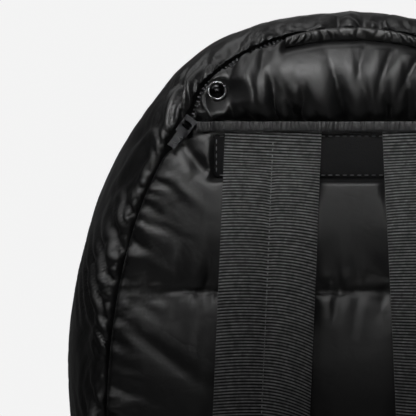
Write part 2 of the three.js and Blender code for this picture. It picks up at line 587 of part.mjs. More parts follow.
function gatheredStrip() {
  const place = (p, q, out) => {
    const x = lerp(-STRIP_WIDE / 2, STRIP_WIDE / 2, p);
    const pleat = out ? STRIP.pleat * Math.sin((2 * Math.PI * x) / STRIP.pitch) : 0;
    return new THREE.Vector3(x, PATCH_BACK + stripStep(x) - out * STRIP.thick - pleat,
      STRIP_FOOT + q * STRIP.tall);
  };
  return wall((p, q) => place(p, q, 0), (p, q) => place(p, q, 1), ACROSS_STEPS.strip, 2);
}

// Side view of a strap's or webbing's inner face: along its line, then round a bar and back behind it.
// step counts mesh steps: some for each of the three stretches.
function strapPath(step, line, bar, tail, steps) {
  const drop = line.from - bar.z;
  const way = Math.sign(drop);
  if (step <= steps.line) {
    const down = step / steps.line;
    const [low, high] = [Math.max(down - 0.01, 0), Math.min(down + 0.01, 1)];
    const slope = (line.y(high) - line.y(low)) / ((high - low) * drop);
    const size = Math.hypot(1, slope);
    return { y: line.y(down), z: line.from - down * drop, ny: -1 / size, nz: -slope / size, down };
  }
  const angle = Math.PI * Math.min((step - steps.line) / steps.turn, 1);
  const rest = Math.max(0, (step - steps.line - steps.turn) / steps.tail);
  return {
    y: bar.y - BAR_CLEAR * Math.cos(angle),
    z: bar.z - way * BAR_CLEAR * Math.sin(angle) + way * rest * tail,
    ny: -Math.cos(angle),
    nz: -way * Math.sin(angle),
    down: 1,
  };
}

const STRAP_STEPS = { line: 26, turn: 8, tail: 2 };
const WEBBING_STEPS = { line: 8, turn: 8, tail: 2 };
const countSteps = (steps) => steps.line + steps.turn + steps.tail;
const STRAP_COUNT = countSteps(STRAP_STEPS);
const WEBBING_COUNT = countSteps(WEBBING_STEPS);
const STRAP_TOP = YOKE_LEVEL - 3 * GAP;
const BAR_CLEAR = Math.hypot(RING.bar, RING.thick) / 2 + GAP;
const strapY = (down) => STRAP_BACK - STRAP.slack * Math.max(0, along(STRAP_LINE, 'down', 'out', down));
const UPPER_BAR = { y: strapY(1) + BAR_CLEAR, z: RING.at };
const LOWER_BAR = { y: UPPER_BAR.y, z: RING.at - RING.bar - RING.slot };
const strapLine = { from: STRAP_TOP, y: strapY };
const webbingLine = {
  from: WEBBING.foot,
  y: (up) => lerp(PATCH_BACK, LOWER_BAR.y - BAR_CLEAR, along(WEBBING_LINE, 'up', 'out', up)),
};

function strapGeometry() {
  const place = (p, q, out) => {
    const at = strapPath(q * STRAP_COUNT, strapLine, UPPER_BAR, STRAP_END.tail, STRAP_STEPS);
    const above = (at.z - RING.at) * (at.down < 1 ? 1 : 0);
    const widening = smoothstep(above, STRAP_END.clear, STRAP_END.clear + STRAP_END.taper);
    const wide = lerp(STRAP_END.wide, STRAP.wide, widening);
    const swell = smoothstep(at.down, STRAP_END.swell / 2, 1.5 * STRAP_END.swell);
    const body = swell * smoothstep(above, 0, STRAP_END.taper);
    const u = 2 * p - 1;
    const valley = STRAP.groove * (1 - Math.abs(Math.sin(Math.PI * u)) ** STRAP.round);
    const thick = out * (lerp(STRAP.endThick, STRAP.thick, body) - body * valley);
    return new THREE.Vector3((u * wide) / 2, at.y + thick * at.ny, at.z + thick * at.nz);
  };
  return wall((p, q) => place(p, q, 1), (p, q) => place(p, q, 0), ACROSS_STEPS.strap, STRAP_COUNT);
}

function webbingGeometry() {
  const place = (p, q, out) => {
    const at = strapPath(q * WEBBING_COUNT, webbingLine, LOWER_BAR, WEBBING.tail, WEBBING_STEPS);
    const x = (p - 0.5) * WEBBING.wide;
    return new THREE.Vector3(x, at.y + out * WEBBING.thick * at.ny, at.z + out * WEBBING.thick * at.nz);
  };
  return wall((p, q) => place(p, q, 1), (p, q) => place(p, q, 0), 2, WEBBING_COUNT);
}

function ringGeometry() {
  const tall = 2 * RING.bar + RING.slot;
  const block = new THREE.BoxGeometry(RING.wide, RING.thick, tall);
  const slot = new THREE.BoxGeometry(RING.wide - 2 * RING.bar, 2 * RING.thick, RING.slot);
  return carve(block, [slot]).translate(0, UPPER_BAR.y, (UPPER_BAR.z + LOWER_BAR.z) / 2);
}

// A strap's group: its own X runs across the strap, and it leans outward towards its foot.
function strapFrame(side) {
  const group = new THREE.Group();
  group.position.set(side * STRAP.top, 0, STRAP_TOP);
  group.rotation.y = -side * degToRad(STRAP.lean);
  const pieces = new THREE.Group();
  pieces.position.z = -STRAP_TOP;
  group.add(pieces);
  return { group, pieces };
}

// Room kept free in the padding in front of a strap's or webbing's inner face.
function strapSeat(side, line, toZ, wide) {
  const shape = new THREE.Shape();
  const steps = 24;
  shape.moveTo(-FAR * 2, line.from);
  for (let i = 0; i <= steps; i += 1) {
    shape.lineTo(line.y(i / steps) + GAP, lerp(line.from, toZ, i / steps));
  }
  shape.lineTo(-FAR * 2, toZ);
  const upright = new THREE.Matrix4().makeBasis(
    new THREE.Vector3(0, 1, 0), new THREE.Vector3(0, 0, 1), new THREE.Vector3(1, 0, 0));
  const frame = strapFrame(side);
  frame.group.updateMatrixWorld(true);
  return new THREE.ExtrudeGeometry(shape, { depth: wide + 2 * GAP, bevelEnabled: false })
    .translate(0, 0, -wide / 2 - GAP).applyMatrix4(upright).applyMatrix4(frame.pieces.matrixWorld);
}

// Room kept free in the padding behind a ring, for the tails of the strap and the webbing.
function ringSeat(side) {
  const frame = strapFrame(side);
  frame.group.updateMatrixWorld(true);
  const low = LOWER_BAR.z - WEBBING.tail - 1;
  const high = UPPER_BAR.z + STRAP_END.tail + 1;
  const face = UPPER_BAR.y + BAR_CLEAR + STRAP.endThick + GAP;
  return new THREE.BoxGeometry(STRAP_END.wide + 2, FAR, high - low)
    .translate(0, face - FAR / 2, (low + high) / 2).applyMatrix4(frame.pieces.matrixWorld);
}

// Soft carry handle lying along the zip at the middle of the top.
function handleGeometry(grow, reach) {
  const place = (p, q, out) => {
    const x = lerp(-HANDLE.span / 2 - grow, HANDLE.span / 2 + grow, p);
    const u = (2 * x) / HANDLE.span;
    const y = seamY(TOP, -1) - HANDLE.out + grow - HANDLE.back * u * u - out * (HANDLE.thick + reach);
    const half = (HANDLE.wide / 2) * (1 - HANDLE.pinch * u ** 4) + grow;
    const middle = HANDLE_LEVEL + HANDLE.rise * (1 - u * u);
    return new THREE.Vector3(x, y, middle + half * (2 * q - 1));
  };
  return wall((p, q) => place(p, q, 1), (p, q) => place(p, q, 0), ACROSS_STEPS.handle, 4);
}

const snapLevel = YOKE_LEVEL + SNAP.above;
const snapSection = sectionAt(snapLevel, panelEdge(-1, 0));
const snapAt = seam(snapSection, 1, panelEdge(-1, 0)(snapSection)).x - SNAP.across / 2 + SNAP.over;
const snapFace = yokeSkinY(snapAt, snapLevel) + SNAP.sunk;

function snapSeat(side) {
  const radius = SNAP.across / 2 + SNAP.wallClear;
  return new THREE.CylinderGeometry(radius, radius, FAR, 24)
    .translate(side * snapAt, snapFace + GAP - FAR / 2, snapLevel);
}

// Lathe with its axis along -Y, from radius and height pairs.
function turned(profile, side) {
  const points = profile.map(([r, h]) => new THREE.Vector2(r, h));
  return new THREE.LatheGeometry(points, 14).rotateX(Math.PI)
    .translate(side * snapAt, snapFace, snapLevel);
}

function snapRim(side) {
  const [inner, outer] = [SNAP.cap / 2 + GAP, SNAP.across / 2];
  const tall = SNAP.rimTall;
  const { share, in: lean } = SNAP.shoulder;
  return turned([[inner, 0], [outer, 0], [outer, tall * share], [outer - lean, tall], [inner, tall],
    [inner, 0]], side);
}

function snapCap(side) {
  const profile = [[0, 0], [SNAP.cap / 2, 0]];
  const arcs = 4;
  for (let i = 0; i <= arcs; i += 1) {
    const turn = (0.5 * Math.PI * i) / arcs;
    const radius = i === arcs ? 0 : (SNAP.cap / 2) * Math.cos(turn);
    profile.push([radius, SNAP.edge + (SNAP.capTall - SNAP.edge) * Math.sin(turn)]);
  }
  return turned(profile, side);
}

const SIDES = [{ side: -1, word: 'left' }, { side: 1, word: 'right' }];
const sliderSeats = SIDES.flatMap(({ side }) => sliderSeat(side));
const handleSeat = handleGeometry(GAP, FAR);

// Padded body
const clear = GAP / 2 / (HALF_WIDTH * (SECTIONS[CORNER].seamX - SECTIONS[CORNER - 1].seamX));
const bodyStations = 2 * (TOP - CORNER) * STEPS;
const wrap = (run) => (run <= TOP ? [run, 1] : [2 * TOP - run, -1]);
const gusset = (inset) => (p, q) =>
  band(...wrap(lerp(CORNER + clear, 2 * TOP - CORNER - clear, p)), q, inset);
const base = (inset) => (p, q) => {
  const run = lerp(clear - CORNER, CORNER - clear, p);
  return band(Math.abs(run), run < 0 ? -1 : 1, q, inset);
};

const gussetWall = wall(gusset(0), gusset(1), bodyStations, ACROSS_STEPS.band);
add('gusset', carve(gussetWall, [...sliderSeats, handleSeat]), 'nylon');
add('base', wall(base(0), base(1), 2 * CORNER * STEPS, ACROSS_STEPS.band), 'nylon');

const patchSeat = slab(PATCH.wide + 2 * GAP, PATCH.tall + 2 * GAP, PATCH.corner + GAP, FAR,
  PATCH_BACK + GAP, PATCH_FOOT - GAP);
const stripSeat = slab(STRIP_WIDE + 2 * GAP, STRIP.tall + 4 * GAP, GAP, FAR, PATCH_BACK + GAP,
  STRIP_FOOT - GAP);
const strapSeats = SIDES.flatMap(({ side }) => [
  strapSeat(side, strapLine, UPPER_BAR.z, STRAP.wide),
  strapSeat(side, webbingLine, LOWER_BAR.z, WEBBING.wide),
  ringSeat(side),
]);
const backSteps = (YOKE_SEAM - CORNER) * STEPS;
const skins = (point) => [0, 1].map((inset) => (p, q) => point(p, q, inset));
const backWall = wall(...skins(backPoint), ACROSS_STEPS.panel, backSteps);
add('back_panel', carve(backWall, [patchSeat, stripSeat, ...strapSeats, ...sliderSeats]), 'nylon');
const yokeWall = wall(...skins(yokePoint), ACROSS_STEPS.yoke, YOKE_UP_STEPS);
const snapSeats = SIDES.map(({ side }) => snapSeat(side));
add('back_yoke', carve(yokeWall, [...sliderSeats, handleSeat, ...snapSeats]), 'nylon');
const frontSteps = (TOP - CORNER) * FRONT_ROW_STEPS;
const frontWall = wall(...skins(frontPoint), ACROSS_STEPS.panel, frontSteps);
add('front_panel', frontWall, 'nylon');

// Zip
const halfTape = GROOVE / 2 - 1.5 * GAP;
const zipFrom = ZIP_END + 0.2;
const tapeDeep = TEETH_DEEP + TEETH_THICK + GAP;
add('zip_tape', grooveStrip(halfTape, tapeDeep, tapeDeep + TAPE_THICK, zipFrom), 'nylon');
add('zip_teeth', grooveStrip(TEETH_WIDTH / 2, TEETH_DEEP, TEETH_DEEP + TEETH_THICK, zipFrom), 'metal');
for (const { side, word } of SIDES) {
  const frame = zipFrame(side);
  bag.add(frame);
  add(`zip_slider_${word}`, sliderGeometry(), 'metal', frame);
  add(`zip_pull_${word}`, pullGeometry(), 'metal', frame);
}

// Trim of the back
const patch = slab(PATCH.wide, PATCH.tall, PATCH.corner, PATCH.thick, PATCH_BACK, PATCH_FOOT);
add('leather_patch', patch, 'leather');
add('gathered_strip', gatheredStrip(), 'nylon');
add('carry_handle', handleGeometry(0, 0), 'nylon');
for (const { side, word } of SIDES) {
  add(`snap_rim_${word}`, snapRim(side), 'metal');
  add(`snap_cap_${word}`, snapCap(side), 'metal');
}

// Shoulder straps
for (const { side, word } of SIDES) {
  const { group, pieces } = strapFrame(side);
  bag.add(group);
  add(`strap_${word}`, strapGeometry(), 'webbing', pieces);
  add(`strap_ring_${word}`, ringGeometry(), 'plastic', pieces);
  add(`lower_webbing_${word}`, webbingGeometry(), 'webbing', pieces);
}

export default bag;
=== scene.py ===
"""Looks of a puffer backpack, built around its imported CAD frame.

The bag stands on its base with its strap side towards -Y. Sizes are in millimetres until a mesh is
made, and the soft forms follow the same named sizes, sections and folds as the CAD solids.
"""

import json
import logging
import math
from dataclasses import dataclass, field
from enum import Enum
from typing import Callable

import bmesh
import bpy
import numpy as np
from mathutils import Matrix, Vector

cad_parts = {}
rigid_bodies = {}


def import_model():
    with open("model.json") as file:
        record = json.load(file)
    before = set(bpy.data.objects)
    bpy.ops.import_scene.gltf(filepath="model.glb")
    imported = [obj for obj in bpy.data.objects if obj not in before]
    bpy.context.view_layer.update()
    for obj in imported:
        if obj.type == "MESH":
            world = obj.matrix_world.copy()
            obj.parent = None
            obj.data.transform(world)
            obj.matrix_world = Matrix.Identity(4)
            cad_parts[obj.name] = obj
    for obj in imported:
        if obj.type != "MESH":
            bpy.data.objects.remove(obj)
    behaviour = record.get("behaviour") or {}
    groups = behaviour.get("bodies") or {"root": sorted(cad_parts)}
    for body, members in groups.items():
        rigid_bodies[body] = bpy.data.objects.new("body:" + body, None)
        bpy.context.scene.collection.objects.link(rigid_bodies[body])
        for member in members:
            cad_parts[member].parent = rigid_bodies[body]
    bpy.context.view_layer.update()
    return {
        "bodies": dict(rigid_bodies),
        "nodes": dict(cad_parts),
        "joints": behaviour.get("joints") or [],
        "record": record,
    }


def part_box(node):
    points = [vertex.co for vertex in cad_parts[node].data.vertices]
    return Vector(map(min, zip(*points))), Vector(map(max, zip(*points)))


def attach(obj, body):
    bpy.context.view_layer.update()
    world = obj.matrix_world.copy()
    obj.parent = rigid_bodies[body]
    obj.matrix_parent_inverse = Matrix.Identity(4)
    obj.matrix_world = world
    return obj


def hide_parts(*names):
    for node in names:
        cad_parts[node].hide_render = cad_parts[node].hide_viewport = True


LOG = logging.getLogger("backpack")
MM = 0.001
GAP = 0.3
Grid = np.ndarray
Place = Callable[[np.ndarray, np.ndarray], np.ndarray]


class Side(Enum):
    """Side of the bag, seen from its straps."""

    LEFT = -1
    RIGHT = 1

    @property
    def word(self) -> str:
        """Word used for this side in the names of the pieces."""
        return self.name.lower()


class Face(Enum):
    """Which face of the bag a quilted panel covers. The value is the sign of its Y."""

    BACK = -1
    FRONT = 1


SECTIONS = {
    "rimX": (0.0, 0.28, 0.52, 0.715, 0.845, 0.935, 0.975, 1.0, 0.984, 0.93, 0.806, 0.65, 0.52, 0.37, 0.19, 0.0),
    "rimZ": (0.0, 0.0, 0.0, 0.034, 0.112, 0.232, 0.365, 0.485, 0.585, 0.69, 0.808, 0.901, 0.946, 0.976, 0.993, 1.0),
    "seamX": (0.0, 0.26, 0.48, 0.63, 0.722, 0.805, 0.855, 0.855, 0.82, 0.756, 0.665, 0.568, 0.506, 0.362, 0.195, 0.0),
    "seamZ": (0.045, 0.045, 0.045, 0.083, 0.145, 0.26, 0.375, 0.49, 0.605, 0.705, 0.79, 0.843, 0.894, 0.937, 0.96,
              0.966),
    "back": (0.93, 0.93, 0.93, 0.96, 0.99, 1.0, 1.0, 1.0, 1.0, 1.0, 0.99, 0.96, 0.92, 0.88, 0.85, 0.84),
    "front": (0.93, 0.93, 0.93, 0.96, 1.0, 1.02, 1.02, 1.0, 0.96, 0.91, 0.84, 0.77, 0.71, 0.66, 0.63, 0.62),
    "flat": (1.3, 1.3, 1.3, 1.12, 1.0, 1.0, 1.0, 1.0, 1.0, 1.0, 1.0, 1.0, 1.0, 1.0, 1.0, 1.0),
}
STRAP_LINE = {"down": (0.0, 0.08, 0.15, 0.23, 0.36, 0.54, 0.74, 0.9, 1.0),
              "out": (0.0, 0.0, 0.22, 0.5, 0.8, 1.0, 0.9, 0.66, 0.52)}
WEBBING_LINE = {"up": (0.0, 0.3, 0.7, 1.0), "out": (0.0, 0.35, 0.9, 1.0)}


@dataclass(frozen=True)
class Fold:
    """Crease in a flat panel: its middle, turn in degrees, size and depth, sunk if above 0."""

    x: float
    z: float
    turn: float
    long: float
    wide: float
    deep: float


@dataclass(frozen=True)
class BandFold:
    """Crease across the gusset: its side, section, place across, slant, size and depth."""

    side: int
    at: float
    across: float
    slant: float
    long: float
    wide: float
    deep: float


BACK_FOLDS = tuple(Fold(*row) for row in (
    (-0.545, 0.785, -45, 0.17, 0.050, 0.38), (-0.610, 0.752, -38, 0.16, 0.045, -0.16),
    (-0.715, 0.700, -20, 0.18, 0.045, 0.22), (-0.760, 0.588, -32, 0.16, 0.045, 0.20),
    (-0.690, 0.524, -36, 0.36, 0.060, 0.20), (-0.780, 0.470, -24, 0.18, 0.050, 0.18),
    (0.715, 0.690, 24, 0.18, 0.045, 0.22), (0.560, 0.780, 45, 0.17, 0.050, 0.34),
    (0.745, 0.560, 30, 0.22, 0.050, 0.20), (0.700, 0.440, 28, 0.24, 0.060, 0.18),
    (-0.700, 0.310, -28, 0.24, 0.060, 0.18), (0.690, 0.270, 25, 0.22, 0.060, 0.18)))
YOKE_FOLDS = tuple(Fold(*row) for row in (
    (-0.420, 0.862, 105, 0.13, 0.036, 0.34), (-0.350, 0.868, 100, 0.20, 0.040, -0.22),
    (-0.270, 0.866, 98, 0.22, 0.042, 0.34), (-0.175, 0.858, 84, 0.14, 0.036, 0.30),
    (0.125, 0.858, 95, 0.12, 0.036, 0.28), (0.195, 0.862, 80, 0.16, 0.040, 0.30),
    (0.330, 0.866, 80, 0.20, 0.042, 0.32), (0.430, 0.862, 74, 0.13, 0.036, 0.30)))
GUSSET_FOLDS = tuple(BandFold(*row) for row in (
    (-1, 5.2, 0.16, 2.4, 0.20, 0.20, 0.22), (-1, 6.6, 0.15, 2.2, 0.18, 0.18, 0.24),
    (-1, 7.7, 0.14, 2.6, 0.22, 0.20, 0.24), (-1, 8.7, 0.15, 2.8, 0.20, 0.17, 0.26),
    (-1, 9.7, 0.16, 2.8, 0.22, 0.16, 0.30), (-1, 10.4, 0.20, 2.2, 0.24, 0.16, 0.32),
    (-1, 11.2, 0.20, 1.8, 0.22, 0.16, 0.30), (-1, 12.5, 0.12, -2.5, 0.18, 0.20, 0.34),
    (-1, 13.6, 0.18, 0.5, 0.24, 0.24, 0.26), (1, 5.6, 0.16, 2.4, 0.20, 0.20, 0.22),
    (1, 7.1, 0.15, 2.2, 0.20, 0.19, 0.24), (1, 8.3, 0.15, 2.6, 0.20, 0.18, 0.24),
    (1, 9.4, 0.16, 2.8, 0.22, 0.17, 0.28), (1, 10.6, 0.18, 2.2, 0.24, 0.16, 0.30),
    (1, 12.0, 0.14, -1.6, 0.18, 0.20, 0.30), (1, 14.4, 0.20, 0.6, 0.26, 0.24, 0.28),
    (-1, 6.0, 0.86, -2.4, 0.20, 0.20, 0.22), (-1, 8.1, 0.85, -2.6, 0.22, 0.20, 0.24),
    (-1, 10.3, 0.84, -2.6, 0.22, 0.18, 0.28), (-1, 13.0, 0.84, -0.6, 0.24, 0.24, 0.26),
    (1, 5.0, 0.86, -2.4, 0.20, 0.20, 0.22), (1, 7.4, 0.85, -2.6, 0.22, 0.20, 0.24),
    (1, 9.5, 0.84, -2.6, 0.22, 0.18, 0.28), (1, 12.2, 0.84, -0.6, 0.24, 0.24, 0.26)))


def lerp(a: np.ndarray | float, b: np.ndarray | float, f: np.ndarray | float) -> np.ndarray | float:
    """Value a share f of the way from a to b."""
    return a + (b - a) * f


def smoothstep(x: np.ndarray | float, low: float, high: float) -> np.ndarray:
    """Smooth rise from 0 at low to 1 at high."""
    f = np.clip((np.asarray(x, float) - low) / (high - low), 0.0, 1.0)
    return f * f * (3 - 2 * f)


def column(values: tuple[float, ...], at: np.ndarray | float) -> np.ndarray:
    """Value of a table's column at fractional rows, on a Catmull-Rom spline.

    Args:
        values: the column, one value a row.
        at: the rows asked for.

    Returns:
        The value at each row.
    """
    table = np.asarray(values, float)
    at = np.asarray(at, float)
    last = len(table) - 1
    row = np.clip(np.floor(at).astype(int), 0, last - 1)
    f = at - row
    a, b, c, d = (table[np.clip(row + k, 0, last)] for k in (-1, 0, 1, 2))
    return b + 0.5 * f * (c - a + f * (2 * a - 5 * b + 4 * c - d + f * (3 * (b - c) + d - a)))


def along(table: dict[str, tuple[float, ...]], over: str, name: str, value: np.ndarray) -> np.ndarray:
    """Value of a column where another, rising, column has a value.

    Args:
        table: the columns by name.
        over: the rising column.
        name: the column wanted.
        value: values of the rising column.

    Returns:
        The wanted column's value at each of them.
    """
    rising = np.asarray(table[over])
    rows = np.interp(np.asarray(value, float), rising, np.arange(len(rising)))
    return column(table[name], rows)


@dataclass(frozen=True)
class BagForm:
    """Main form of the bag: sections round the body, its seams, channels and folds."""

    half_width: float = 160.0
    height: float = 400.0
    half_depth: float = 75.0
    pad: float = 13.0
    seam_wall: float = 4.0
    boxiness: float = 0.88
    channel_puff: float = 9.0
    channel_round: float = 0.55
    back_bulge: float = 4.0
    front_bulge: float = 22.0
    fold_at_seam: float = 0.35
    edge_round: float = 0.7
    yoke_puff: float = 15.0
    lip: float = 3.4
    lip_reach: float = 7.0
    groove: float = 6.0
    top: int = 15
    corner: int = 2
    yoke_seam: int = 11
    zip_end: float = 10.3
    channel_seams: tuple[int, ...] = (4, 6, 8)

    def level(self, row: int) -> float:
        """Height of the back seam at a whole section."""
        return self.height * SECTIONS["seamZ"][row]

    @property
    def yoke_level(self) -> float:
        """Height of the seam under the yoke."""
        return self.level(self.yoke_seam)

    def seam(self, at: np.ndarray, side: np.ndarray, outward: np.ndarray) -> dict[str, np.ndarray]:
        """Seam point of a section on one side, moved outward in the seam's own plane.

        Args:
            at: sections.
            side: -1 or 1.
            outward: distance outward.

        Returns:
            The point's x and z, and the outward direction nx and nz.
        """
        at = np.asarray(at, float)
        span = 0.05
        low, high = np.maximum(at - span, 0), np.minimum(at + span, self.top)
        x = lambda k: self.half_width * column(SECTIONS["seamX"], k)
        z = lambda k: self.height * column(SECTIONS["seamZ"], k)
        dx = x(high) - x(low)
        dz = np.where(at >= self.top, 0.0, z(high) - z(low))
        size = np.hypot(dx, dz)
        return {"x": side * (x(at) + outward * dz / size), "z": z(at) - outward * dx / size,
                "nx": side * dz / size, "nz": -dx / size}

    def parting(self, at: np.ndarray) -> np.ndarray:
        """Half the distance between the pieces on both sides of the back seam."""
        open_share = smoothstep(at, self.zip_end - 0.25, self.zip_end + 0.15)
        return lerp(GAP * 0.85, self.groove / 2, open_share)

    def seam_y(self, at: np.ndarray, face: Face) -> np.ndarray:
        """Depth of the seam of a face at a section."""
        name = "back" if face is Face.BACK else "front"
        return face.value * self.half_depth * column(SECTIONS[name], at)

    def edge(self, face: Face, at: np.ndarray, inset: float) -> np.ndarray:
        """How far a panel's edge lies inside its seam."""
        part = self.parting(at) if face is Face.BACK else GAP * 0.85
        return -part - inset * self.seam_wall

    def section_at(self, level: float, inset: float) -> float:
        """Section at which the back panel's edge stands at a height."""
        low, high = float(self.corner), float(self.top)
        for _ in range(40):
            middle = (low + high) / 2
            if self.seam(middle, 1, self.edge(Face.BACK, middle, inset))["z"] < level:
                low = middle
            else:
                high = middle
        return (low + high) / 2

    def panel_folds(self, folds: tuple[Fold, ...], x: np.ndarray, z: np.ndarray) -> np.ndarray:
        """Sum of the folds of a flat panel at points, as a depth."""
        depth = np.zeros_like(x)
        for fold in folds:
            turn = math.radians(fold.turn)
            dx, dz = x - fold.x * self.half_width, z - fold.z * self.height
            a = (dx * math.cos(turn) + dz * math.sin(turn)) / (0.5 * fold.long * self.half_width)
            b = (dz * math.cos(turn) - dx * math.sin(turn)) / (0.5 * fold.wide * self.half_width)
            depth += fold.deep * self.pad * np.exp(-a * a - b * b)
        return depth

    def gusset_folds(self, at: np.ndarray, side: np.ndarray, across: np.ndarray) -> np.ndarray:
        """Sum of the gusset's folds at sections and shares of the way across, as a depth."""
        depth = np.zeros(np.broadcast(at, across).shape)
        for fold in GUSSET_FOLDS:
            start = np.where(side == fold.side, fold.at, 2 * self.top - fold.at)
            a = (across - fold.across) / (0.5 * fold.long)
            slant = fold.slant * (across - fold.across) * np.sign(0.5 - fold.across)
            b = (at - start + slant) / fold.wide
            depth += fold.deep * self.pad * np.exp(-a * a - b * b)
        return depth

    def lip_share(self, at: np.ndarray, away: np.ndarray) -> np.ndarray:
        """How far the padding beside the zip leans over it, away from its edge by a distance."""
        clear = smoothstep(at, self.zip_end + 1.1, self.zip_end + 1.9)
        return self.lip * clear * (away / self.lip_reach) * np.exp(1 - away / self.lip_reach)

    def channel(self, z: np.ndarray, seams: list[float]) -> np.ndarray:
        """Fullness of the quilted channel at heights: 0 on a seam, 1 between two seams."""
        full = np.zeros_like(z)
        for low, high in zip(seams[:-1], seams[1:]):
            share = (z - low) / (high - low)
            inside = (share >= 0) & (share <= 1)
            full = np.where(inside, np.sin(np.pi * np.clip(share, 0, 1)) ** self.channel_round, full)
        return full

    @property
    def back_seams(self) -> list[float]:
        """Heights of the level seams of the back."""
        return [self.level(row) for row in (self.corner, *self.channel_seams, self.yoke_seam)]

    def level_row(self, face: Face, row: np.ndarray, u: np.ndarray, inset: float) -> tuple[np.ndarray, ...]:
        """Place in the seam surface of a face on a row level from side to side, as x, z and depth."""
        stretch = self.section_at(self.yoke_level - GAP, inset) - self.yoke_seam if face is Face.BACK else 0.0
        at = row + stretch * smoothstep(row, self.yoke_seam - 2, self.yoke_seam)
        side = np.where(u < 0, -1, 1)
        edge = self.seam(at, side, self.edge(face, at, inset))
        return np.abs(u) * edge["x"], edge["z"], self.seam_y(at, face)

    def arch_row(self, face: Face, share: np.ndarray, u: np.ndarray, inset: float) -> tuple[np.ndarray, ...]:
        """Place above the yoke seam: share 0 on the level foot, 1 on the arc over the top."""
        back = face is Face.BACK
        start = self.section_at(self.yoke_level + GAP, inset) if back else float(self.yoke_seam)
        side = np.where(u < 0, -1, 1)
        at = lerp(self.top, start, np.abs(u))
        arc = self.seam(at, side, self.edge(face, at, inset))
        foot = self.seam(np.full_like(u, start), side, self.edge(face, np.full_like(u, start), inset))
        return (lerp(np.abs(u) * foot["x"], arc["x"], share), lerp(foot["z"], arc["z"], share),
                lerp(self.seam_y(start, face), self.seam_y(at, face), share))

    def band(self, run: np.ndarray, across: np.ndarray, inset: float) -> np.ndarray:
        """Points of the band that runs round the body, on its skin (inset 0) or lining (inset 1).

        Args:
            run: sections counted on over the top, so that one side has 0 to top.
            across: 0 at the back seam, 1 at the front seam.
            inset: 0 for the skin, 1 for the lining.

        Returns:
            The points, one row each.
        """
        side = np.where((run < 0) | (run > self.top), -1, 1)
        at = np.where(run > self.top, 2 * self.top - run, np.abs(run))
        turn = np.pi * across
        lift = np.minimum(1, np.sin(turn) ** self.boxiness * column(SECTIONS["flat"], at))
        back = np.where(across < 0.5, self.parting(at), GAP * 0.85)
        edge = self.seam(at, side, back - inset * self.seam_wall)
        rim_x = side * self.half_width * column(SECTIONS["rimX"], at)
        rim_z = np.maximum(0, self.height * column(SECTIONS["rimZ"], at))
        near = self.seam_y(at, Face.BACK) + inset * self.seam_wall
        far = self.seam_y(at, Face.FRONT) - inset * self.seam_wall
        sink = inset * self.pad + (1 - inset) * self.gusset_folds(at, side, across)
        return np.stack([
            lerp(edge["x"], rim_x - sink * edge["nx"], lift),
            (near + far) / 2 - (far - near) / 2 * np.cos(turn),
            lerp(edge["z"], rim_z - sink * edge["nz"], lift)], -1)

    def out_from(self, place: tuple[np.ndarray, ...], face: Face, out: np.ndarray, inset: float) -> np.ndarray:
        """Points that stand out from the seam surface of a face."""
        x, z, plane = place
        return np.stack([x, plane + face.value * (out - inset * self.seam_wall), z], -1)

    def back_point(self, across: np.ndarray, up: np.ndarray, inset: float) -> np.ndarray:
        """Quilted lower back, from the base to the yoke seam."""
        u = 2 * across - 1
        place = self.level_row(Face.BACK, lerp(self.corner, self.yoke_seam, up), u, inset)
        edge = np.maximum(0, 1 - np.abs(u) ** 5) ** self.edge_round
        full = self.channel(place[1], self.back_seams)
        crown = self.back_bulge * (1 - u * u) * np.sin(np.pi * np.clip(place[1] / self.yoke_level, 0, 1))
        if inset:
            return self.out_from(place, Face.BACK, crown, inset)
        kept = self.fold_at_seam + (1 - self.fold_at_seam) * full
        relief = self.panel_folds(BACK_FOLDS, place[0], place[1]) * kept
        return self.out_from(place, Face.BACK, crown + (self.channel_puff * full - relief) * edge, inset)

    def yoke_point(self, across: np.ndarray, up: np.ndarray, inset: float) -> np.ndarray:
        """Yoke over the top of the back, from its level seam to the zip."""
        u = 2 * across - 1
        place = self.arch_row(Face.BACK, up, u, inset)
        if inset:
            return self.out_from(place, Face.BACK, np.zeros_like(u), inset)
        rise = np.sin(np.pi * np.clip(up, 0, 1)) ** 0.6 * np.sqrt(np.maximum(0, 1 - np.abs(u) ** 3))
        relief = self.panel_folds(YOKE_FOLDS, place[0], place[1]) * np.minimum(1, 2 * rise)
        return self.out_from(place, Face.BACK, self.yoke_puff * rise - relief, inset)

    def front_point(self, across: np.ndarray, up: np.ndarray, inset: float) -> np.ndarray:
        """Quilted front, from the base to the arc over the top."""
        u = 2 * across - 1
        row = lerp(self.corner, self.top, up)
        share = (row - self.yoke_seam) / (self.top - self.yoke_seam)
        low = self.level_row(Face.FRONT, np.minimum(row, self.yoke_seam), u, inset)
        high = self.arch_row(Face.FRONT, np.maximum(share, 0), u, inset)
        place = tuple(np.where(share <= 0, a, b) for a, b in zip(low, high))
        edge = np.maximum(0, 1 - u ** 4) ** self.edge_round * np.minimum(1, 2 - 2 * share)
        crown = self.front_bulge * (1 - u * u) * np.sin(np.pi * np.clip(up, 0, 1)) ** 0.8
        if inset:
            return self.out_from(place, Face.FRONT, crown, inset)
        full = self.channel(place[1], [*self.back_seams, self.level(self.top)])
        kept = self.fold_at_seam + (1 - self.fold_at_seam) * full
        relief = self.panel_folds(BACK_FOLDS, -place[0], place[1]) * kept
        return self.out_from(place, Face.FRONT, crown + (self.channel_puff * full - relief) * edge, inset)


def shares_grid(steps_u: int, steps_v: int) -> tuple[np.ndarray, np.ndarray]:
    """Shares 0 to 1 of both directions on a grid, as two arrays of rows (v) and columns (u)."""
    v, u = np.meshgrid(np.linspace(0, 1, steps_v + 1), np.linspace(0, 1, steps_u + 1), indexing="ij")
    return u, v


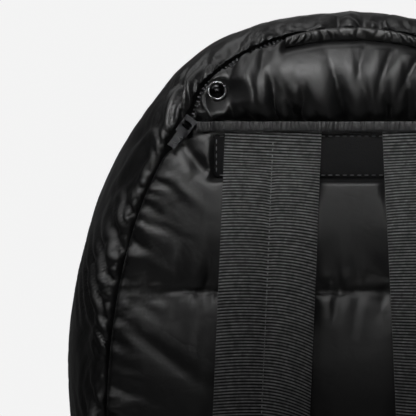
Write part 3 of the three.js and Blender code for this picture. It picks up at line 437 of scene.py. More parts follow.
def add_grid(bm: bmesh.types.BMesh, points: Grid) -> list[bmesh.types.BMVert]:
    """Adds an open grid of faces to a bmesh.

    Args:
        bm: the bmesh.
        points: rows and columns of points in millimetres.

    Returns:
        The new vertices, row after row.
    """
    rows, cols = points.shape[:2]
    made = bmesh.ops.create_grid(bm, x_segments=cols - 1, y_segments=rows - 1, size=1.0)["verts"]
    place = np.array([v.co[:2] for v in made]).round(6)
    order = np.lexsort((place[:, 0], place[:, 1]))
    verts = [made[i] for i in order]
    for vert, point in zip(verts, points.reshape(-1, 3) * MM):
        vert.co = point
    bm.verts.index_update()
    return verts


def closed_up(bm: bmesh.types.BMesh) -> None:
    """Closes a bmesh over its two open edge loops with a crisp rim, and turns its faces outward."""
    for face in bm.faces:
        face.smooth = True
    loose = [e for e in bm.edges if len(e.link_faces) == 1]
    if loose:
        for face in bmesh.ops.bridge_loops(bm, edges=loose)["faces"]:
            face.smooth = False
    bmesh.ops.remove_doubles(bm, verts=bm.verts[:], dist=0.00002)
    bmesh.ops.recalc_face_normals(bm, faces=bm.faces[:])
    if bm.calc_volume(signed=True) < 0:
        bmesh.ops.reverse_faces(bm, faces=bm.faces[:])


def finished(name: str, bm: bmesh.types.BMesh, material: bpy.types.Material) -> bpy.types.Object:
    """Object made of a bmesh, at the origin, with one material.

    Args:
        name: the object's name.
        bm: its mesh, which is freed.
        material: its material.

    Returns:
        The object.
    """
    mesh = bpy.data.meshes.new(name)
    bm.to_mesh(mesh)
    bm.free()
    mesh.materials.append(material)
    obj = bpy.data.objects.new(name, mesh)
    bpy.context.scene.collection.objects.link(obj)
    return obj


def shell(name: str, outer: Grid, inner: Grid, material: bpy.types.Material) -> bpy.types.Object:
    """Closed wall between an outer and an inner grid of points."""
    bm = bmesh.new()
    add_grid(bm, outer)
    add_grid(bm, inner)
    closed_up(bm)
    return finished(name, bm, material)


def run_length(points: Grid, axis: int) -> np.ndarray:
    """Length run along each grid line, from its first point."""
    steps = np.linalg.norm(np.diff(points, axis=axis), axis=-1)
    start = np.zeros_like(np.take(steps, [0], axis=axis))
    return np.cumsum(np.concatenate([start, steps], axis=axis), axis=axis)


def outward(points: Grid, middle: tuple[float, float, float] = (0.0, 0.0, 200.0)) -> Grid:
    """Unit normals of a grid that point away from the middle of the bag."""
    normal = np.cross(np.gradient(points, axis=1), np.gradient(points, axis=0))
    normal /= np.maximum(np.linalg.norm(normal, axis=-1, keepdims=True), 1e-9)
    return normal * np.sign(np.mean(np.sum(normal * (points - np.array(middle)), axis=-1)))


@dataclass(frozen=True)
class Gathers:
    """Puckers beside one seam of a panel: a whole grid row or column."""

    row: int | None = None
    col: int | None = None
    deep: float = 1.0
    reach: float = 8.0
    slant: float = 0.15
    seed: int = 1
    waves: tuple[float, ...] = (4.6, 7.4, 12.0, 19.0)
    gain: float = 1.9
    crisp: float = 0.68
    mirrored: bool = False

    def away(self, points: Grid) -> np.ndarray:
        """Distance of each point from the seam, along the grid."""
        if self.row is not None:
            run = run_length(points, 0)
            return np.abs(run - run[self.row][None, :])
        run = run_length(points, 1)
        return np.abs(run - run[:, self.col][:, None])

    def height(self, points: Grid) -> np.ndarray:
        """How far the puckers lift each point: fine ones near the seam, wide ones further off."""
        rng = np.random.default_rng(self.seed)
        if self.row is not None:
            run = np.broadcast_to(run_length(points, 1)[self.row][None, :], points.shape[:2])
        else:
            run = np.broadcast_to(run_length(points, 0)[:, self.col][:, None], points.shape[:2])
        away = self.away(points)
        way = np.tanh((run - run.max() / 2) / (run.max() / 8)) if self.mirrored else 1.0
        total = np.zeros_like(away)
        for wave in self.waves:
            turn, drift, cluster = rng.uniform(0, 2 * np.pi, 3)
            reach = self.reach * wave / 8.0 * (0.75 + 0.45 * np.sin(run / (2.7 * wave) + 2 * cluster))
            bunch = np.maximum(0, 0.35 + 0.65 * np.sin(2 * np.pi * run / (5.3 * wave) + cluster))
            bend = way * self.slant * away * (1 + 0.5 * np.sin(run / (2.3 * wave) + drift))
            phase = 2 * np.pi * (run + bend) / wave + turn + 1.3 * np.sin(run / (1.9 * wave) + drift)
            crest = 2 * np.abs(np.cos(phase / 2)) ** self.crisp - 1
            near = (0.3 + away / (0.32 * reach)) * np.exp(-away / (0.48 * reach))
            total += 0.2 * wave ** 0.65 * bunch * crest * near
        return self.deep * total * self.gain


def blurred(values: Grid, radius: int) -> Grid:
    """Grid of vectors averaged over a window, with its edges repeated."""
    out = values
    for axis in (0, 1):
        for _ in range(2):
            pads = [(0, 0)] * out.ndim
            pads[axis] = (radius + 1, radius)
            summed = np.cumsum(np.pad(out, pads, mode="edge"), axis=axis)
            high = np.take(summed, range(2 * radius + 1, summed.shape[axis]), axis=axis)
            low = np.take(summed, range(0, summed.shape[axis] - 2 * radius - 1), axis=axis)
            out = (high - low) / (2 * radius + 1)
    return out


@dataclass(frozen=True)
class ClothRun:
    """Cloth simulation that puckers a sewn panel: it is cut larger than its place and blown up."""

    slack: float = 0.06
    pressure: float = 2.0
    frames: int = 20
    cap: float = 5.0
    stiffness: float = 15.0
    bending: float = 0.05
    noise: float = 0.25
    spread: int = 9
    kept: float = 0.15

    def puckers(self, points: Grid, pinned: np.ndarray, seed: int) -> Grid:
        """Simulates a panel and gives how its puckers move its points.

        Args:
            points: the panel's grid in millimetres.
            pinned: True where a seam holds a point.
            seed: seed of the small start-up noise.

        Returns:
            The movement of each point in millimetres, with broad swelling mostly taken out.
        """
        rng = np.random.default_rng(seed)
        start = points + blurred(rng.normal(0, 1, points.shape), 1) * self.noise * ~pinned[..., None]
        bm = bmesh.new()
        order = np.array([vert.index for vert in add_grid(bm, start)])
        mesh = bpy.data.meshes.new("panel_cloth")
        bm.to_mesh(mesh)
        bm.free()
        obj = bpy.data.objects.new("panel_cloth", mesh)
        bpy.context.scene.collection.objects.link(obj)
        group = obj.vertex_groups.new(name="sewn")
        group.add([int(i) for i in order[pinned.reshape(-1)]], 1.0, "REPLACE")
        cloth = obj.modifiers.new("cloth", "CLOTH")
        cloth.settings.quality = 5
        cloth.settings.mass = 0.1
        cloth.settings.tension_stiffness = self.stiffness
        cloth.settings.compression_stiffness = self.stiffness
        cloth.settings.shear_stiffness = self.stiffness / 3
        cloth.settings.bending_stiffness = self.bending
        cloth.settings.shrink_min = -self.slack
        cloth.settings.shrink_max = -self.slack
        cloth.settings.use_pressure = True
        cloth.settings.uniform_pressure_force = self.pressure
        cloth.settings.vertex_group_mass = group.name
        cloth.settings.effector_weights.gravity = 0
        cloth.collision_settings.use_collision = False
        cloth.point_cache.frame_end = self.frames
        for frame in range(1, self.frames + 1):
            bpy.context.scene.frame_set(frame)
        solved = obj.evaluated_get(bpy.context.evaluated_depsgraph_get()).data
        flat = np.empty(points.size, np.float32)
        solved.vertices.foreach_get("co", flat)
        solved_points = flat.reshape(-1, 3)[order].astype(float) / MM
        bpy.data.objects.remove(obj)
        bpy.data.meshes.remove(mesh)
        bpy.context.scene.frame_set(1)
        shift = solved_points.reshape(points.shape) - points
        shift = shift - (1 - self.kept) * blurred(shift, self.spread)
        far = np.linalg.norm(shift, axis=-1, keepdims=True)
        return shift * np.minimum(1, self.cap / np.maximum(far, 1e-6))


def node_tree(material: bpy.types.Material) -> tuple[bpy.types.Nodes, bpy.types.NodeLinks, bpy.types.Node]:
    """Nodes, links and Principled shader of a fresh node material."""
    material.use_nodes = True
    nodes, links = material.node_tree.nodes, material.node_tree.links
    return nodes, links, nodes["Principled BSDF"]


class Effects:
    """Shader node groups shared by the bag's finishes."""

    def __init__(self) -> None:
        """Builds each group once."""
        self.crinkle = self._crinkle()
        self.grain = self._grain()
        self.weave = self._weave()
        self.wear = self._wear()

    @staticmethod
    def _start(name: str, inputs: dict[str, float], outputs: tuple[str, ...]) -> tuple:
        """Starts a node group that reads Object coordinates.

        Args:
            name: name of the group.
            inputs: numeric inputs with their defaults.
            outputs: names of its numeric outputs.

        Returns:
            The group, its input, output and coordinate nodes.
        """
        group = bpy.data.node_groups.new(name, "ShaderNodeTree")
        for label, value in inputs.items():
            socket = group.interface.new_socket(name=label, in_out="INPUT", socket_type="NodeSocketFloat")
            socket.default_value = value
        for label in outputs:
            group.interface.new_socket(name=label, in_out="OUTPUT", socket_type="NodeSocketFloat")
        nodes = group.nodes
        return (group, nodes.new("NodeGroupInput"), nodes.new("NodeGroupOutput"), nodes.new("ShaderNodeTexCoord"))

    @staticmethod
    def _noise(group: bpy.types.NodeTree, scale: float, detail: float, distortion: float = 0.0) -> bpy.types.Node:
        """Noise texture node of one scale in a group."""
        noise = group.nodes.new("ShaderNodeTexNoise")
        noise.inputs["Scale"].default_value = scale
        noise.inputs["Detail"].default_value = detail
        noise.inputs["Distortion"].default_value = distortion
        return noise

    @staticmethod
    def _math(group: bpy.types.NodeTree, operation: str, a: object, b: object) -> bpy.types.NodeSocket:
        """Math node between two sockets or numbers."""
        node = group.nodes.new("ShaderNodeMath")
        node.operation = operation
        for socket, value in zip(node.inputs, (a, b)):
            if isinstance(value, bpy.types.NodeSocket):
                group.links.new(value, socket)
            else:
                socket.default_value = value
        return node.outputs[0]

    def _crinkle(self) -> bpy.types.NodeTree:
        """Fine crinkles of coated nylon: ridges of two sizes, as a height."""
        group, start, end, coord = self._start("crinkle", {"Large": 1.0, "Small": 0.5}, ("Height", "Mask"))
        wide = self._noise(group, 26.0, 3.0, 0.8)
        fine = self._noise(group, 90.0, 2.0, 0.4)
        for noise in (wide, fine):
            group.links.new(coord.outputs["Object"], noise.inputs["Vector"])
        ridges = []
        for noise in (wide, fine):
            centred = self._math(group, "SUBTRACT", noise.outputs["Fac"], 0.5)
            folded = self._math(group, "ABSOLUTE", centred, 0.0)
            ridges.append(self._math(group, "SMOOTH_MIN", folded, 0.12))
        large = self._math(group, "MULTIPLY", ridges[0], start.outputs["Large"])
        small = self._math(group, "MULTIPLY", ridges[1], start.outputs["Small"])
        group.links.new(self._math(group, "ADD", large, small), end.inputs["Height"])
        group.links.new(wide.outputs["Fac"], end.inputs["Mask"])
        return group

    def _grain(self) -> bpy.types.NodeTree:
        """Pebble grain of leather or moulded plastic, as a height and a mask."""
        group, start, end, coord = self._start("grain", {"Scale": 900.0, "Depth": 1.0}, ("Height", "Mask"))
        cells = group.nodes.new("ShaderNodeTexVoronoi")
        group.links.new(coord.outputs["Object"], cells.inputs["Vector"])
        group.links.new(start.outputs["Scale"], cells.inputs["Scale"])
        cloud = self._noise(group, 45.0, 4.0)
        group.links.new(coord.outputs["Object"], cloud.inputs["Vector"])
        height = self._math(group, "MULTIPLY", cells.outputs["Distance"], start.outputs["Depth"])
        group.links.new(height, end.inputs["Height"])
        group.links.new(cloud.outputs["Fac"], end.inputs["Mask"])
        return group

    def _weave(self) -> bpy.types.NodeTree:
        """Plain weave of two crossed thread waves, as a height."""
        group, start, end, coord = self._start("weave", {"Scale": 900.0, "Depth": 1.0}, ("Height",))
        waves = []
        for axis in ("X", "Z"):
            wave = group.nodes.new("ShaderNodeTexWave")
            wave.bands_direction = axis
            group.links.new(coord.outputs["Object"], wave.inputs["Vector"])
            group.links.new(start.outputs["Scale"], wave.inputs["Scale"])
            waves.append(wave.outputs["Fac"])
        crossed = self._math(group, "MULTIPLY", waves[0], waves[1])
        group.links.new(self._math(group, "MULTIPLY", crossed, start.outputs["Depth"]), end.inputs["Height"])
        return group

    def _wear(self) -> bpy.types.NodeTree:
        """Handling marks: a cloudy mask of a chosen strength."""
        group, start, end, coord = self._start("wear", {"Scale": 60.0, "Amount": 0.5}, ("Mask",))
        cloud = self._noise(group, 60.0, 5.0, 0.6)
        group.links.new(coord.outputs["Object"], cloud.inputs["Vector"])
        group.links.new(start.outputs["Scale"], cloud.inputs["Scale"])
        group.links.new(self._math(group, "MULTIPLY", cloud.outputs["Fac"], start.outputs["Amount"]), end.inputs["Mask"])
        return group

    def use(self, nodes: bpy.types.Nodes, group: bpy.types.NodeTree, **values: float) -> bpy.types.Node:
        """Places a group in a material with its own values."""
        node = nodes.new("ShaderNodeGroup")
        node.node_tree = group
        for label, value in values.items():
            node.inputs[label].default_value = value
        return node


def mix_by(nodes: bpy.types.Nodes, links: bpy.types.NodeLinks, mask: bpy.types.NodeSocket,
           low: float, high: float) -> bpy.types.NodeSocket:
    """Number that goes from low to high as a mask goes from 0.3 to 0.7."""
    ranged = nodes.new("ShaderNodeMapRange")
    ranged.inputs["From Min"].default_value = 0.3
    ranged.inputs["From Max"].default_value = 0.7
    ranged.inputs["To Min"].default_value = low
    ranged.inputs["To Max"].default_value = high
    links.new(mask, ranged.inputs["Value"])
    return ranged.outputs["Result"]


def tone_by(nodes: bpy.types.Nodes, links: bpy.types.NodeLinks, mask: bpy.types.NodeSocket,
            dark: tuple[float, float, float], light: tuple[float, float, float]) -> bpy.types.NodeSocket:
    """Colour that goes from dark to light with a mask."""
    ramp = nodes.new("ShaderNodeValToRGB")
    ramp.color_ramp.elements[0].position = 0.3
    ramp.color_ramp.elements[1].position = 0.7
    ramp.color_ramp.elements[0].color = (*dark, 1)
    ramp.color_ramp.elements[1].color = (*light, 1)
    links.new(mask, ramp.inputs["Fac"])
    return ramp.outputs["Color"]


def bumped(nodes: bpy.types.Nodes, links: bpy.types.NodeLinks, shader: bpy.types.Node,
           heights: list[tuple[bpy.types.NodeSocket, float]]) -> None:
    """Chains bumps of given depths in metres into a shader's normal."""
    before = None
    for height, depth in heights:
        bump = nodes.new("ShaderNodeBump")
        bump.inputs["Strength"].default_value = 1.0
        bump.inputs["Distance"].default_value = depth
        links.new(height, bump.inputs["Height"])
        if before is not None:
            links.new(before, bump.inputs["Normal"])
        before = bump.outputs["Normal"]
    links.new(before, shader.inputs["Normal"])


@dataclass(frozen=True)
class NylonFinish:
    """Glossy coated nylon with a fine plain weave and small crinkles."""

    name: str = "black_nylon"
    dark: tuple[float, float, float] = (0.0016, 0.0016, 0.0018)
    light: tuple[float, float, float] = (0.003, 0.003, 0.0032)
    smooth: float = 0.36
    rough: float = 0.48
    crinkle: float = 0.0016
    weave: float = 0.00002

    def build(self, effects: Effects) -> bpy.types.Material:
        """Material of this finish."""
        material = bpy.data.materials.new(self.name)
        nodes, links, shader = node_tree(material)
        crinkle = effects.use(nodes, effects.crinkle, Large=1.0, Small=0.35)
        weave = effects.use(nodes, effects.weave, Scale=1100.0)
        wear = effects.use(nodes, effects.wear, Scale=22.0, Amount=1.0)
        links.new(tone_by(nodes, links, wear.outputs["Mask"], self.dark, self.light), shader.inputs["Base Color"])
        links.new(mix_by(nodes, links, wear.outputs["Mask"], self.smooth, self.rough), shader.inputs["Roughness"])
        bumped(nodes, links, shader, [(crinkle.outputs["Height"], self.crinkle),
                                      (weave.outputs["Height"], self.weave)])
        shader.inputs["Specular IOR Level"].default_value = 0.5
        shader.inputs["Sheen Weight"].default_value = 0.04
        shader.inputs["Sheen Roughness"].default_value = 0.4
        return material


@dataclass(frozen=True)
class WebbingFinish:
    """Dull woven webbing with painted shade: grey on the rib tops and near-black in the valleys between the ribs,
    which the meshes count in a rib attribute.
    """

    name: str = "ribbed_webbing"
    # Painted shade: the near-black colour put into the valleys between the ribs.
    valley: tuple[float, float, float] = (0.0006, 0.0006, 0.0006)
    dark: tuple[float, float, float] = (0.078, 0.078, 0.08)
    light: tuple[float, float, float] = (0.2, 0.2, 0.204)
    roughness: float = 0.62
    weave: float = 0.00012

    def build(self, effects: Effects) -> bpy.types.Material:
        """Material of this finish."""
        material = bpy.data.materials.new(self.name)
        nodes, links, shader = node_tree(material)
        weave = effects.use(nodes, effects.weave, Scale=420.0)
        wear = effects.use(nodes, effects.wear, Scale=300.0, Amount=1.0)
        # Painted shade: the rib count sets how far the base colour goes from the thread colour on the rib tops to the
        # near-black valley colour between them.
        ribs = nodes.new("ShaderNodeAttribute")
        ribs.attribute_name = "rib"
        turn = nodes.new("ShaderNodeMath")
        turn.operation = "MULTIPLY"
        turn.inputs[1].default_value = 2 * math.pi
        links.new(ribs.outputs["Fac"], turn.inputs[0])
        wave = nodes.new("ShaderNodeMath")
        wave.operation = "COSINE"
        links.new(turn.outputs[0], wave.inputs[0])
        ranged = nodes.new("ShaderNodeMapRange")
        ranged.inputs["From Min"].default_value = 0.55
        ranged.inputs["From Max"].default_value = -0.75
        links.new(wave.outputs[0], ranged.inputs["Value"])
        depth = ranged.outputs["Result"]
        thread = tone_by(nodes, links, wear.outputs["Mask"], self.dark, self.light)
        tone = nodes.new("ShaderNodeMix")
        tone.data_type = "RGBA"
        tone.inputs["A"].default_value = (*self.valley, 1)
        links.new(depth, tone.inputs["Factor"])
        links.new(thread, tone.inputs["B"])
        links.new(tone.outputs["Result"], shader.inputs["Base Color"])
        shader.inputs["Roughness"].default_value = self.roughness
        shader.inputs["Specular IOR Level"].default_value = 0.2
        shader.inputs["Sheen Weight"].default_value = 0.1
        shader.inputs["Sheen Roughness"].default_value = 0.5
        bumped(nodes, links, shader, [(weave.outputs["Height"], self.weave)])
        return material


@dataclass(frozen=True)
class LeatherFinish:
    """Smooth black leather with a faint pebble grain."""

    name: str = "black_leather"
    dark: tuple[float, float, float] = (0.003, 0.003, 0.0033)
    light: tuple[float, float, float] = (0.006, 0.006, 0.0064)
    smooth: float = 0.42
    rough: float = 0.56
    grain: float = 0.00008

    def build(self, effects: Effects) -> bpy.types.Material:
        """Material of this finish."""
        material = bpy.data.materials.new(self.name)
        nodes, links, shader = node_tree(material)
        grain = effects.use(nodes, effects.grain, Scale=1100.0)
        mask = grain.outputs["Mask"]
        links.new(tone_by(nodes, links, mask, self.dark, self.light), shader.inputs["Base Color"])
        links.new(mix_by(nodes, links, mask, self.smooth, self.rough), shader.inputs["Roughness"])
        shader.inputs["Specular IOR Level"].default_value = 0.12
        bumped(nodes, links, shader, [(grain.outputs["Height"], self.grain)])
        return material


@dataclass(frozen=True)
class HardFinish:
    """Dark metal or moulded plastic with handling marks."""

    name: str
    dark: tuple[float, float, float]
    light: tuple[float, float, float]
    smooth: float
    rough: float
    metallic: float
    grain: float = 0.00001

    def build(self, effects: Effects) -> bpy.types.Material:
        """Material of this finish."""
        material = bpy.data.materials.new(self.name)
        nodes, links, shader = node_tree(material)
        wear = effects.use(nodes, effects.wear, Scale=140.0, Amount=1.0)
        grain = effects.use(nodes, effects.grain, Scale=2400.0)
        links.new(tone_by(nodes, links, wear.outputs["Mask"], self.dark, self.light), shader.inputs["Base Color"])
        links.new(mix_by(nodes, links, wear.outputs["Mask"], self.smooth, self.rough), shader.inputs["Roughness"])
        shader.inputs["Metallic"].default_value = self.metallic
        bumped(nodes, links, shader, [(grain.outputs["Height"], self.grain)])
        return material


class Finishes:
    """Every material of the bag, built once."""

    def __init__(self) -> None:
        """Builds the shared effects and the materials."""
        effects = Effects()
        self.nylon = NylonFinish().build(effects)
        # Painted light: a copy of the black nylon with a base colour about ten times lighter, so that the gathered
        # strip looks lit where its pleats face up and out.
        self.binding = NylonFinish("gathered_nylon_painted_light", (0.014, 0.014, 0.0145), (0.03, 0.03, 0.031),
                                   0.4, 0.5).build(effects)
        self.webbing = WebbingFinish().build(effects)
        self.leather = LeatherFinish().build(effects)
        self.tape = NylonFinish("zip_tape_cloth", (0.006, 0.006, 0.006), (0.010, 0.010, 0.010), 0.6, 0.75,
                                0.0, 0.00015).build(effects)
        self.thread = HardFinish("black_thread", (0.02, 0.02, 0.021), (0.045, 0.045, 0.047),
                                 0.5, 0.65, 0.0).build(effects)
        self.waxed = HardFinish("waxed_thread", (0.06, 0.06, 0.062), (0.16, 0.16, 0.165),
                                0.45, 0.6, 0.0).build(effects)
        self.metal = HardFinish("dark_metal", (0.008, 0.008, 0.0085), (0.022, 0.022, 0.023),
                                0.12, 0.3, 1.0).build(effects)
        self.bright = HardFinish("worn_metal", (0.14, 0.14, 0.145), (0.24, 0.24, 0.245),
                                 0.2, 0.34, 1.0).build(effects)
        self.teeth = HardFinish("zip_teeth_metal", (0.015, 0.015, 0.016), (0.04, 0.04, 0.042),
                                0.2, 0.4, 0.6).build(effects)
        self.plastic = HardFinish("ring_plastic", (0.006, 0.006, 0.0065), (0.012, 0.012, 0.0125),
                                  0.32, 0.45, 0.0).build(effects)


@dataclass(frozen=True)
class Trim:
    """Sizes of what is sewn and riveted on the back, from which the padding keeps clear."""

    patch_wide: float = 155.0
    patch_tall: float = 25.0
    patch_thick: float = 1.7
    patch_corner: float = 2.5
    patch_below: float = 7.0
    patch_out: float = 4.5
    strip_wide: float = 174.0
    strip_tall: float = 5.8
    strip_thick: float = 1.3
    strip_clear: float = 4.5
    strip_ramp: float = 5.0
    snap_across: float = 11.0
    snap_cap: float = 8.2
    snap_rim: float = 1.2
    snap_tall: float = 2.6
    snap_edge: float = 0.9
    snap_at: float = 75.6
    snap_above: float = 17.0
    snap_face: float = -78.0
    handle_span: float = 74.0
    handle_wide: float = 7.0
    handle_thick: float = 2.6
    handle_rise: float = 5.0
    handle_out: float = 1.0
    handle_back: float = 2.0
    handle_pinch: float = 0.25
    strap_wide: float = 54.0
    strap_thick: float = 4.2
    strap_end_thick: float = 2.6
    strap_groove: float = 1.2
    strap_at: float = 43.8
    strap_lean: float = 2.5
    strap_slack: float = 26.0
    end_wide: float = 28.0
    end_taper: float = 26.0
    end_clear: float = 6.0
    end_tail: float = 14.0
    end_swell: float = 0.1
    ring_wide: float = 36.0
    ring_bar: float = 3.2
    ring_slot: float = 8.0
    ring_thick: float = 3.2
    ring_at: float = 72.0
    web_wide: float = 25.0
    web_thick: float = 1.8
    web_foot: float = 23.0
    web_tail: float = 12.0
    slider_up: float = 0.55
    slider_face: float = -0.25
    slider_long: float = 11.0
    slider_wide: float = 7.4
    slider_thick: float = 2.6
    slider_ear: float = 1.0
    pin_radius: float = 0.7
    pin_clear: float = 0.35
    pull_long: float = 15.0
    pull_wide: float = 4.6
    pull_thick: float = 1.4
    pull_eye: float = 1.1
    teeth_deep: float = 0.1
    teeth_thick: float = 1.5
    teeth_wide: float = 4.2

    @property
    def pin_y(self) -> float:
        """Depth of a pull's pin in its slider's own frame."""
        return self.slider_face - self.slider_thick - self.pull_eye - self.pin_radius - self.pin_clear - GAP


class Layout:
    """Places of the trim in the bag's frame."""

    def __init__(self, form: BagForm, trim: Trim) -> None:
        """Works out the places that several sub-assemblies share.

        Args:
            form: the bag's main form.
            trim: sizes of the trim.
        """
        self.form, self.trim = form, trim
        self.patch_back = float(form.seam_y(form.yoke_seam, Face.BACK)) - trim.patch_out
        self.strap_back = self.patch_back - trim.patch_thick - GAP
        self.patch_top = form.yoke_level - trim.patch_below
        self.patch_foot = self.patch_top - trim.patch_tall
        self.strip_foot = form.yoke_level - GAP - trim.strip_tall
        self.strap_top = form.yoke_level - 3 * GAP
        self.bar_clear = math.hypot(trim.ring_bar, trim.ring_thick) / 2 + GAP
        self.bar_y = float(self.strap_y(np.array(1.0))) + self.bar_clear
        self.low_bar = trim.ring_at - trim.ring_bar - trim.ring_slot
        self.snap_level = form.yoke_level + trim.snap_above

    def strap_y(self, down: np.ndarray) -> np.ndarray:
        """Depth of a strap's inner face at shares of its drop."""
        out = np.maximum(0, along(STRAP_LINE, "down", "out", down))
        return self.strap_back - self.trim.strap_slack * out

    def web_y(self, up: np.ndarray) -> np.ndarray:
        """Depth of the lower webbing's inner face at shares of its height."""
        return lerp(self.patch_back, self.bar_y - self.bar_clear, along(WEBBING_LINE, "up", "out", up))

    def strap_matrix(self, side: Side) -> Matrix:
        """Matrix from a strap's own frame, upright and centred, to the bag's."""
        turn = Matrix.Rotation(-side.value * math.radians(self.trim.strap_lean), 4, "Y")
        place = Matrix.Translation((side.value * self.trim.strap_at, 0, self.strap_top))
        return place @ turn @ Matrix.Translation((0, 0, -self.strap_top))

    def zip_matrix(self, side: Side) -> Matrix:
        """Matrix from a slider's own frame to the bag's: +Z runs up the zip and -Y faces out."""
        at = self.form.zip_end + self.trim.slider_up

        def place(section: float) -> Vector:
            point = self.form.seam(section, side.value, 0.0)
            return Vector((float(point["x"]), float(self.form.seam_y(section, Face.BACK)), float(point["z"])))

        up = (place(at + 0.15) - place(at - 0.15)).normalized()
        across = Vector((0, 1, 0)).cross(up).normalized()
        deep = up.cross(across)
        turn = Matrix((across, deep, up)).transposed().to_4x4()
        return Matrix.Translation(place(at)) @ turn

    def strap_width(self, z: np.ndarray) -> np.ndarray:
        """Width of a strap at heights in its own frame."""
        trim = self.trim
        above = smoothstep(z - trim.ring_at, trim.end_clear, trim.end_clear + trim.end_taper)
        return lerp(trim.end_wide, trim.strap_wide, above)

    def handle_back_y(self, u: np.ndarray) -> np.ndarray:
        """Depth of the handle's back face at places along it, -1 to 1."""
        top = float(self.form.seam_y(self.form.top, Face.BACK))
        return top - self.trim.handle_out - self.trim.handle_back * u * u

    def handle_z(self, u: np.ndarray) -> np.ndarray:
        """Height of the handle's middle line at places along it, -1 to 1."""
        return self.form.level(self.form.top) - self.trim.handle_rise * u * u


def soft_max(a: np.ndarray, b: np.ndarray, round_off: float) -> np.ndarray:
    """Larger of two values, with the corner between them rounded off."""
    return (a + b + np.sqrt((a - b) ** 2 + round_off ** 2)) / 2


def pressed(points: Grid, frame: Matrix, low: float, high: float, half: Callable[[np.ndarray], np.ndarray],
            face: Callable[[np.ndarray], np.ndarray], slope: float = 1.2) -> Grid:
    """Presses soft skin back behind a hard piece that lies on it.

    Args:
        points: the skin's points.
        frame: matrix of the piece's own frame, whose -Y faces out.
        low: lower end of the piece, in its frame.
        high: upper end of the piece.
        half: half its width at heights.
        face: depth behind which the skin stays, at heights.
        slope: how steeply the skin may rise beside it.

    Returns:
        The points, moved in the frame's +Y where they stood too far out.
    """
    into = np.array(frame.inverted())
    back = np.array(frame)
    flat = points.reshape(-1, 3)
    local = flat @ into[:3, :3].T + into[:3, 3]
    z = np.clip(local[:, 2], low, high)
    beside = np.maximum(np.abs(local[:, 0]) - half(z), 0)
    away = np.hypot(beside, local[:, 2] - z)
    local[:, 1] = soft_max(local[:, 1], face(z) - slope * away, 1.3)
    return (local @ back[:3, :3].T + back[:3, 3]).reshape(points.shape)


def constant(value: float) -> Callable[[np.ndarray], np.ndarray]:
    """Function of height that is the same everywhere."""
    return lambda z: np.full_like(z, value)


